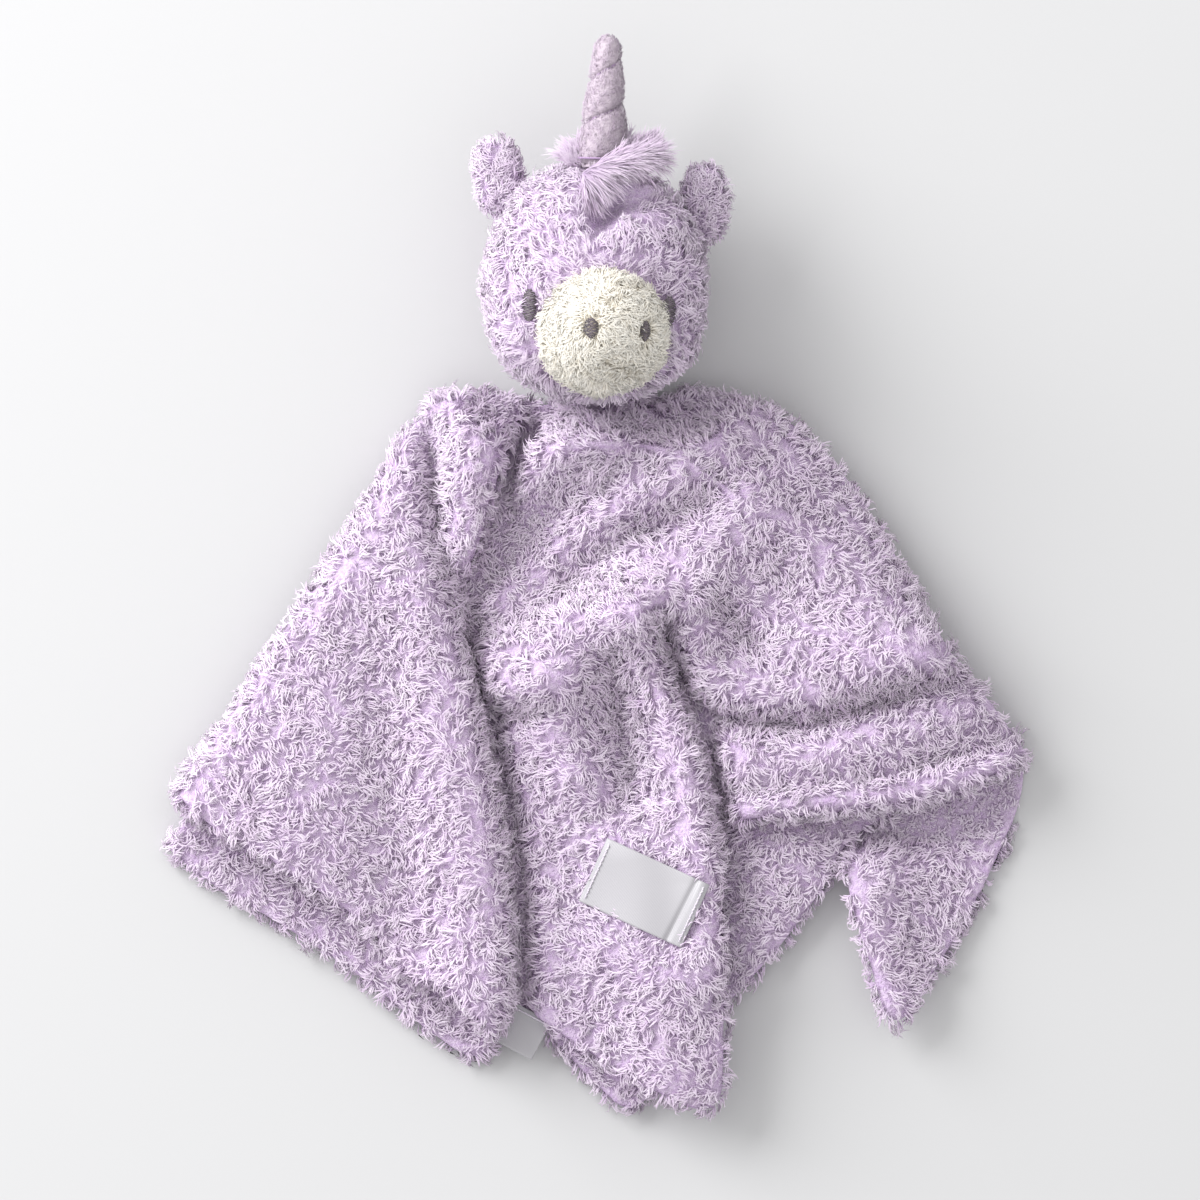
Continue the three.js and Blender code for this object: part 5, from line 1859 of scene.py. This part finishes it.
@dataclass
class Horn:
    """The horn: a cone of velboa drawn in by a thread that winds round it."""

    length: float = 44.0
    radius: float = 8.6
    tip_radius: float = 4.3
    tip_share: float = 0.87
    sink: float = 1.6
    groove: float = 2.0
    groove_width: float = 0.75
    pitch: float = 15.4
    start: float = 1.6
    turns: tuple[float, float] = (0.4, 2.4)
    puff: float = 0.4
    thread: float = 0.4
    rings: int = 120
    sides: int = 72
    fuzz_locks: int = 1700
    fuzz: Pile = Pile(
        length=1.4, lock=0.8, width=0.24, strands=5, segments=2, gather=0.0, lift=30.0, lay=75.0, curl=30.0
    )

    def taper(self, height: Array) -> Array:
        """Radius without the groove: straight to the tip's share of the length, then the quarter of an
        oval.

        Args:
            height: heights over the horn's foot.

        Returns:
            The radii.
        """
        share = np.clip(height / self.length, 0.0, 1.0)
        straight = self.radius + (self.tip_radius - self.radius) * share / self.tip_share
        past = np.clip((share - self.tip_share) / (1.0 - self.tip_share), 0.0, 1.0)
        return np.where(share < self.tip_share, straight, self.tip_radius * np.sqrt(1.0 - past * past))

    def fade(self, height: Array) -> Array:
        """Share of the groove that is left at heights: it runs out over the last pitch."""
        return np.clip((self.length - height) / self.pitch, 0.0, 1.0)

    def drawn(self, height: Array, angle: Array) -> Array:
        """Radius with the groove: a sharp crease, depth * exp(-distance / width), between coils puffed
        by a cosine over each turn. Both run out over the last pitch.

        Args:
            height: heights over the horn's foot.
            angle: angles round the horn in radians.

        Returns:
            The radii.
        """
        turns = (height - self.start) / self.pitch - angle / (2 * math.pi)
        away = np.abs(turns - np.round(turns)) * self.pitch
        crease = self.groove * np.exp(-away / self.groove_width)
        puff = self.puff * (1.0 - np.cos(2 * math.pi * turns)) / 2
        return np.maximum(self.taper(height) + (puff - crease) * self.fade(height), 0.05)

    def skin(self) -> Shape:
        """The cover: the drawn-in radius on a grid of heights and angles, closed at both ends."""
        rise = np.linspace(0.0, 1.0, self.rings)
        height = (-self.sink + (self.length + self.sink) * (1 - (1 - rise) ** 1.35))[:, None]
        angle = (2 * math.pi * np.arange(self.sides) / self.sides)[None, :]
        points = about_y(self.drawn(height, angle), height, angle)
        ends = np.array([[0.0, -self.sink, 0.0], [0.0, self.length, 0.0]])
        points = np.concatenate([points.reshape(-1, 3), ends])
        return Shape(points, capped_rings(self.rings, self.sides))

    def build(self) -> None:
        """Makes the cover, its fuzz and the winding thread."""
        skin = HORN.moved(self.skin())
        nodes = ("horn_cover", "horn_filling")
        cloth = dressed("horn_velboa", skin, VELBOA, "horn", "short_plush", *nodes)
        rng = np.random.default_rng(5)
        roots, outward = scattered(skin, self.fuzz_locks, rng)
        up = HORN.vectors(np.array([0.0, 1.0, 0.0]))
        made = self.fuzz.grow(roots, outward, np.broadcast_to(up, roots.shape), rng)
        pile_pieces("horn_fuzz", made, SHORT_FUZZ, "horn")
        self.winding()

    def winding(self) -> None:
        """The two-ply thread in the crease."""
        turns = np.linspace(*self.turns, 220)
        height = self.start + turns * self.pitch
        radius = self.taper(height) - (self.groove - 0.5) * self.fade(height) + 0.1
        line = about_y(radius, height, 2 * math.pi * turns)
        made = HORN.moved(plied(line, self.thread))
        dressed("horn_winding", made, LILAC_THREAD, "horn", "lilac_thread", "horn_thread")


def plied(line: Array, radius: float, turn_mm: float = 1.6) -> Shape:
    """A two-ply thread: two strands on opposite sides of a line, half the thread's radius from it, that
    wind round it with one turn for each turn_mm of length.

    Args:
        line: (n, 3) places.
        radius: of the whole thread.
        turn_mm: length of a turn.

    Returns:
        Their shape.
    """
    lengths = np.concatenate([[0.0], np.cumsum(np.linalg.norm(np.diff(line, axis=0), axis=1))])
    steps = np.linspace(0.0, lengths[-1], max(8, int(lengths[-1] / (turn_mm / 6))))
    line = np.stack([np.interp(steps, lengths, line[:, k]) for k in range(3)], -1)
    ahead = unit(np.gradient(line, axis=0))
    side = unit(np.cross(ahead, (0.31, 0.17, 0.93)))
    up = np.cross(ahead, side)
    phase = 2 * math.pi * steps / turn_mm
    out = side * np.cos(phase)[:, None] + up * np.sin(phase)[:, None]
    paths = np.stack([line + out * radius / 2, line - out * radius / 2])
    sideways = np.stack([side, side])
    return tubes(paths, np.full(len(steps), radius * 0.56), sideways, 6, False, np.array([0.3, 0.8]))


# Forelock


@dataclass(frozen=True)
class Tuft:
    """A strip of long silky fur sewn to the crown.

    Attributes:
        pixels: the strip's line in the view from above.
        heights: height in mm of the strip at each of these.
        headings: degrees in plan in which the fur leaves each of these.
        locks: number of locks.
        strip: width of the strip in mm.
        pile: how the fur grows.
    """

    name: str
    pixels: tuple[tuple[float, float], ...]
    heights: tuple[float, ...]
    headings: tuple[float, ...]
    locks: int
    strip: float
    pile: Pile
    seed: int

    def build(self) -> None:
        """Makes the fur: locks at random places of the strip, which is arched over its width, with
        headings that pass evenly from mark to mark."""
        rng = np.random.default_rng(self.seed)
        marks = np.linspace(0.0, 1.0, len(self.pixels))
        share = rng.random(self.locks)
        line = np.concatenate([on_table(self.pixels), np.array(self.heights)[:, None]], axis=1)
        place = np.stack([np.interp(share, marks, line[:, k]) for k in range(3)], -1)
        angle = np.radians(np.interp(share, marks, self.headings))
        heading = np.stack([np.cos(angle), np.sin(angle), np.zeros(self.locks)], -1)
        aside = rng.uniform(-1.0, 1.0, self.locks)
        roots = place + heading * (aside * self.strip / 2)[:, None]
        roots[:, 2] -= 2.0 * aside**2
        outward = unit(heading * aside[:, None] * 0.5 + (0.0, 0.15, 1.0))
        made = self.pile.grow(roots, outward, heading, rng)
        fur = pile_pieces(f"{self.name}_fur", made, SILKY_FUR, "head")
        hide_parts(self.name)


FRONT_TUFT = Tuft(
    name="forelock_front",
    pixels=((584, 188), (589, 179), (597, 173), (606, 169), (615, 166), (624, 163), (632, 161), (640, 159)),
    heights=(58.0, 61.0, 62.5, 62.5, 61.5, 60.0, 58.0, 56.5),
    headings=(-78.0, -28.0, -12.0, -4.0, 0.0, 0.0, -4.0, -8.0),
    locks=380,
    strip=4.0,
    pile=Pile(
        length=11.5, lock=1.1, width=0.34, strands=9, segments=5, gather=0.3, lift=44.0, lay=106.0,
        curl=12.0, ragged=0.3,
    ),
    seed=17,
)
BACK_TUFT = Tuft(
    name="forelock_back",
    pixels=((572, 166), (584, 160), (606, 157), (630, 155), (650, 156)),
    heights=(46.0, 44.0, 41.0, 44.0, 46.0),
    headings=(150.0, 120.0, 95.0, 65.0, 35.0),
    locks=240,
    strip=6.0,
    pile=Pile(
        length=7.5, lock=1.3, width=0.32, strands=8, segments=4, gather=0.2, lift=25.0, lay=80.0,
        curl=35.0, ragged=0.35,
    ),
    seed=18,
)


# Labels and threads


def ribbon_shape(ribbon: Ribbon, surface: Array, thickness: float) -> Shape:
    """A ribbon as a closed slab.

    Args:
        ribbon: its size.
        surface: (rows, columns) height of its top over a grid; rows run towards the hem.
        thickness: of the slab.

    Returns:
        Its local shape, with UV in shares of 50 mm.
    """
    x, down = ribbon.grid(*surface.shape)
    y = (0.5 - down) * ribbon.width
    upper = np.stack([x, y, surface], -1)
    lower = np.stack([x, y, surface - thickness], -1)
    shape = shell(upper, lower, np.zeros(surface.shape, bool))
    numbers = np.arange(surface.size).reshape(surface.shape)
    edge = np.concatenate([numbers[0, :-1], numbers[:-1, -1], numbers[-1, :0:-1], numbers[:0:-1, 0]])
    under = edge + surface.size
    after, under_after = np.roll(edge, -1), np.roll(under, -1)
    sides = [np.stack([edge, after, under_after], -1), np.stack([edge, under_after, under], -1)]
    uv = shape.points[:, :2] / WHITE_SATIN.uv_mm
    return Shape(shape.points, np.concatenate([shape.triangles, *sides]), uv)


@dataclass
class Labels:
    """The bare woven label, sewn flat across its ends, and the bare care label caught in the hem."""

    thickness: float = 0.5
    care_thickness: float = 0.4
    above: float = 0.3
    end_band: float = 5.2
    stitch_inset: float = 1.6
    thread: float = 0.35
    stitch: float = 1.7
    care_stitch: float = 1.9

    def woven_top(self, x: Array, y: Array) -> Array:
        """Height of the woven label's top: the front layer's, slow waves, a dip where its right end is
        folded back, that fold's second thickness, and ends that curl down.

        Args:
            x: distance to the right of the label's middle.
            y: distance above it, towards the neck.

        Returns:
            The heights.
        """
        plan = LABEL.place().points(np.stack([x, y, np.zeros_like(x)], -1))
        base = FRONT.top(plan[..., :2]) + self.above
        slack = 0.5 * np.sin(x / 6.2 + 0.6) + 0.35 * np.sin(y / 5.5 + x / 14.0)
        seam = LABEL.length / 2 - self.end_band + 0.05 * y
        dip = -0.9 * np.exp(-(((x - seam) / 1.0) ** 2))
        fold = 0.45 * smooth((x - seam) / 1.4)
        curl = 0.5 * smooth((np.abs(x) - LABEL.length / 2 + 1.5) / 1.5)
        return base + slack + dip + fold - curl

    def build(self) -> None:
        x, down = LABEL.grid(40, 72)
        top = self.woven_top(x, (0.5 - down) * LABEL.width)
        shape = LABEL.place().moved(ribbon_shape(LABEL, top, self.thickness))
        satin = ("white_satin", "woven_label")
        woven = dressed("woven_label_satin", shape, WHITE_SATIN, "blanket", *satin)
        for side, name in ((-1, "label_stitches_left"), (1, "label_stitches_right")):
            at = np.linspace(-1.0, 1.0, 90) * (LABEL.width / 2 - self.stitch_inset)
            across = side * (LABEL.length / 2 - self.stitch_inset) + 0.08 * np.sin(at * 3.0)
            # A backstitch: the thread dips into the ribbon between its stitches.
            rise = self.thread * (0.9 - 1.2 * np.abs(np.cos(math.pi * at / self.stitch)) ** 6)
            line = np.stack([across, at, self.woven_top(across, at) + rise], -1)
            ply = LABEL.place().moved(plied(line, self.thread))
            dressed(f"{name}_thread", ply, WHITE_THREAD, "blanket", "white_thread", name)
        self.care()

    def care(self) -> None:
        """The care label: a slack ribbon, and the stitch that holds it in the hem."""
        x, down = CARE.grid(28, 26)
        top = 8.9 + 0.25 * np.sin(x / 3.4 + 0.8) * down + 0.2 * np.sin(down * 5.0)
        shape = ribbon_shape(CARE, top, self.care_thickness)
        shape.points[:, 1] -= CARE.width / 2
        shape = CARE.place().moved(shape)
        made = dressed("care_label_satin", shape, WHITE_SATIN, "care_label", "white_satin", "care_label")
        at = np.linspace(-1.0, 1.0, 50) * (CARE.length / 2 - self.stitch_inset)
        rise = self.thread * (1.0 - 1.2 * np.abs(np.cos(math.pi * at / self.care_stitch)) ** 6)
        height = 9.0 + 0.25 * np.sin(at / 3.4 + 0.8) * 0.1 + 0.2 * np.sin(0.107 * 5.0)
        line = np.stack([at, np.full_like(at, -self.stitch_inset), height + rise], -1)
        ply = CARE.place().moved(plied(line, self.thread))
        names = ("white_thread", "care_label_stitches")
        thread = dressed("care_label_thread", ply, WHITE_THREAD, "care_label", *names)


@dataclass
class NeckThreads:
    """The ladder stitch round the neck and the gathering thread within it."""

    seam_radius: float = 11.2
    gather_radius: float = 9.5
    thread: float = 0.6
    stitches: int = 11
    wave: float = 0.9
    ply_turn: float = 2.4

    def build(self) -> None:
        """Makes both threads as closed rings round the line of +Y through the neck: the ladder
        stitch crosses the seam with one sine wave for each stitch."""
        angle = np.linspace(0.0, 2 * math.pi, 400)
        rings = (
            ("neck_seam", self.seam_radius, self.wave * np.sin(self.stitches * angle), "neck_seam_thread"),
            ("neck_gathering", self.gather_radius, np.zeros_like(angle), "neck_gathering_thread"),
        )
        for body, radius, across, node in rings:
            line = np.stack([radius * np.cos(angle), across, radius * np.sin(angle)], -1) + NECK
            ply = plied(line, self.thread, self.ply_turn)
            dressed(f"{body}_ply", ply, LILAC_THREAD, body, "lilac_thread", node)


@dataclass
class HornSeam:
    """The thread that sews the horn to the crown."""

    radius: float = 9.3
    thread: float = 0.4

    def build(self) -> None:
        """Makes the ring round the horn's foot."""
        angle = np.linspace(0.0, 2 * math.pi, 260)
        height = np.full_like(angle, HEAD_FORM.up - HORN_BASE[1] + 0.7)
        line = about_y(self.radius, height, angle)
        ply = HORN.moved(plied(line, self.thread))
        dressed("horn_seam_ply", ply, LILAC_THREAD, "horn_foot", "lilac_thread", "horn_seam_thread")


# Studio


@dataclass
class Studio:
    """Pale floor, one large soft light at the upper left, and a long lens straight above."""

    floor_side: float = 4.0
    view_mm: float = MM_PER_PIXEL * PICTURE_PIXELS
    camera_height: float = 8.0
    sensor: float = 36.0
    key_watts: float = 64.0
    key_side: float = 1.6
    key_place: tuple[float, float, float] = (-1.6, 1.1, 1.1)
    key_aim: tuple[float, float, float] = (0.0, 0.0, 0.02)
    sky: float = 0.86

    def build(self) -> None:
        """Makes the floor, the lights and the camera."""
        bpy.context.scene.view_settings.view_transform = "Standard"
        self.floor()
        self.world()
        self.key()
        self.camera()

    def floor(self) -> None:
        """A pale matt board."""
        half = self.floor_side / 2
        mesh = bpy.data.meshes.new("floor")
        corners = [(-half, -half, 0), (half, -half, 0), (half, half, 0), (-half, half, 0)]
        mesh.from_pydata(corners, [], [(0, 1, 2, 3)])
        mesh.update()
        made = placed("floor", mesh)
        board = bpy.data.materials.new("pale_board")
        board.use_nodes = True
        shader = board.node_tree.nodes["Principled BSDF"]
        shader.inputs["Base Color"].default_value = linear("#cdcdce")
        shader.inputs["Roughness"].default_value = 0.9
        made.data.materials.append(board)

    def world(self) -> None:
        """Even pale surroundings."""
        world = bpy.data.worlds.new("surroundings")
        world.use_nodes = True
        background = world.node_tree.nodes["Background"]
        background.inputs["Color"].default_value = linear("#ffffff")
        background.inputs["Strength"].default_value = self.sky
        bpy.context.scene.world = world

    def key(self) -> None:
        """A soft window of light at the upper left."""
        lamp = bpy.data.lights.new("window", "AREA")
        lamp.shape, lamp.size = "SQUARE", self.key_side
        lamp.energy = self.key_watts
        made = placed("window", lamp)
        made.location = self.key_place
        aim = Vector(self.key_aim) - made.location
        made.rotation_euler = aim.to_track_quat("-Z", "Y").to_euler()

    def camera(self) -> None:
        """Straight above the picture's middle, with a long lens."""
        lens = bpy.data.cameras.new("camera")
        lens.sensor_width = self.sensor
        lens.lens = self.sensor * self.camera_height / (self.view_mm * MM)
        lens.clip_end = 4 * self.camera_height
        made = placed("camera", lens)
        middle = on_table((PICTURE_PIXELS / 2, PICTURE_PIXELS / 2)) + ORIGIN[:2]
        made.location = (middle[0] * MM, middle[1] * MM, self.camera_height)
        bpy.context.scene.camera = made


def main() -> None:
    """Builds the lovey and the studio."""
    logging.basicConfig(level=logging.INFO, format="%(message)s")
    Studio().build()
    Blanket().build()
    Labels().build()
    Head().build()
    Ear("left", 141.0, 97.0, 41).build()
    Ear("right", 32.0, 88.0, 42).build()
    Horn().build()
    HornSeam().build()
    for tuft in (FRONT_TUFT, BACK_TUFT):
        tuft.build()
    NeckThreads().build()


if __name__ == "__main__":
    main()
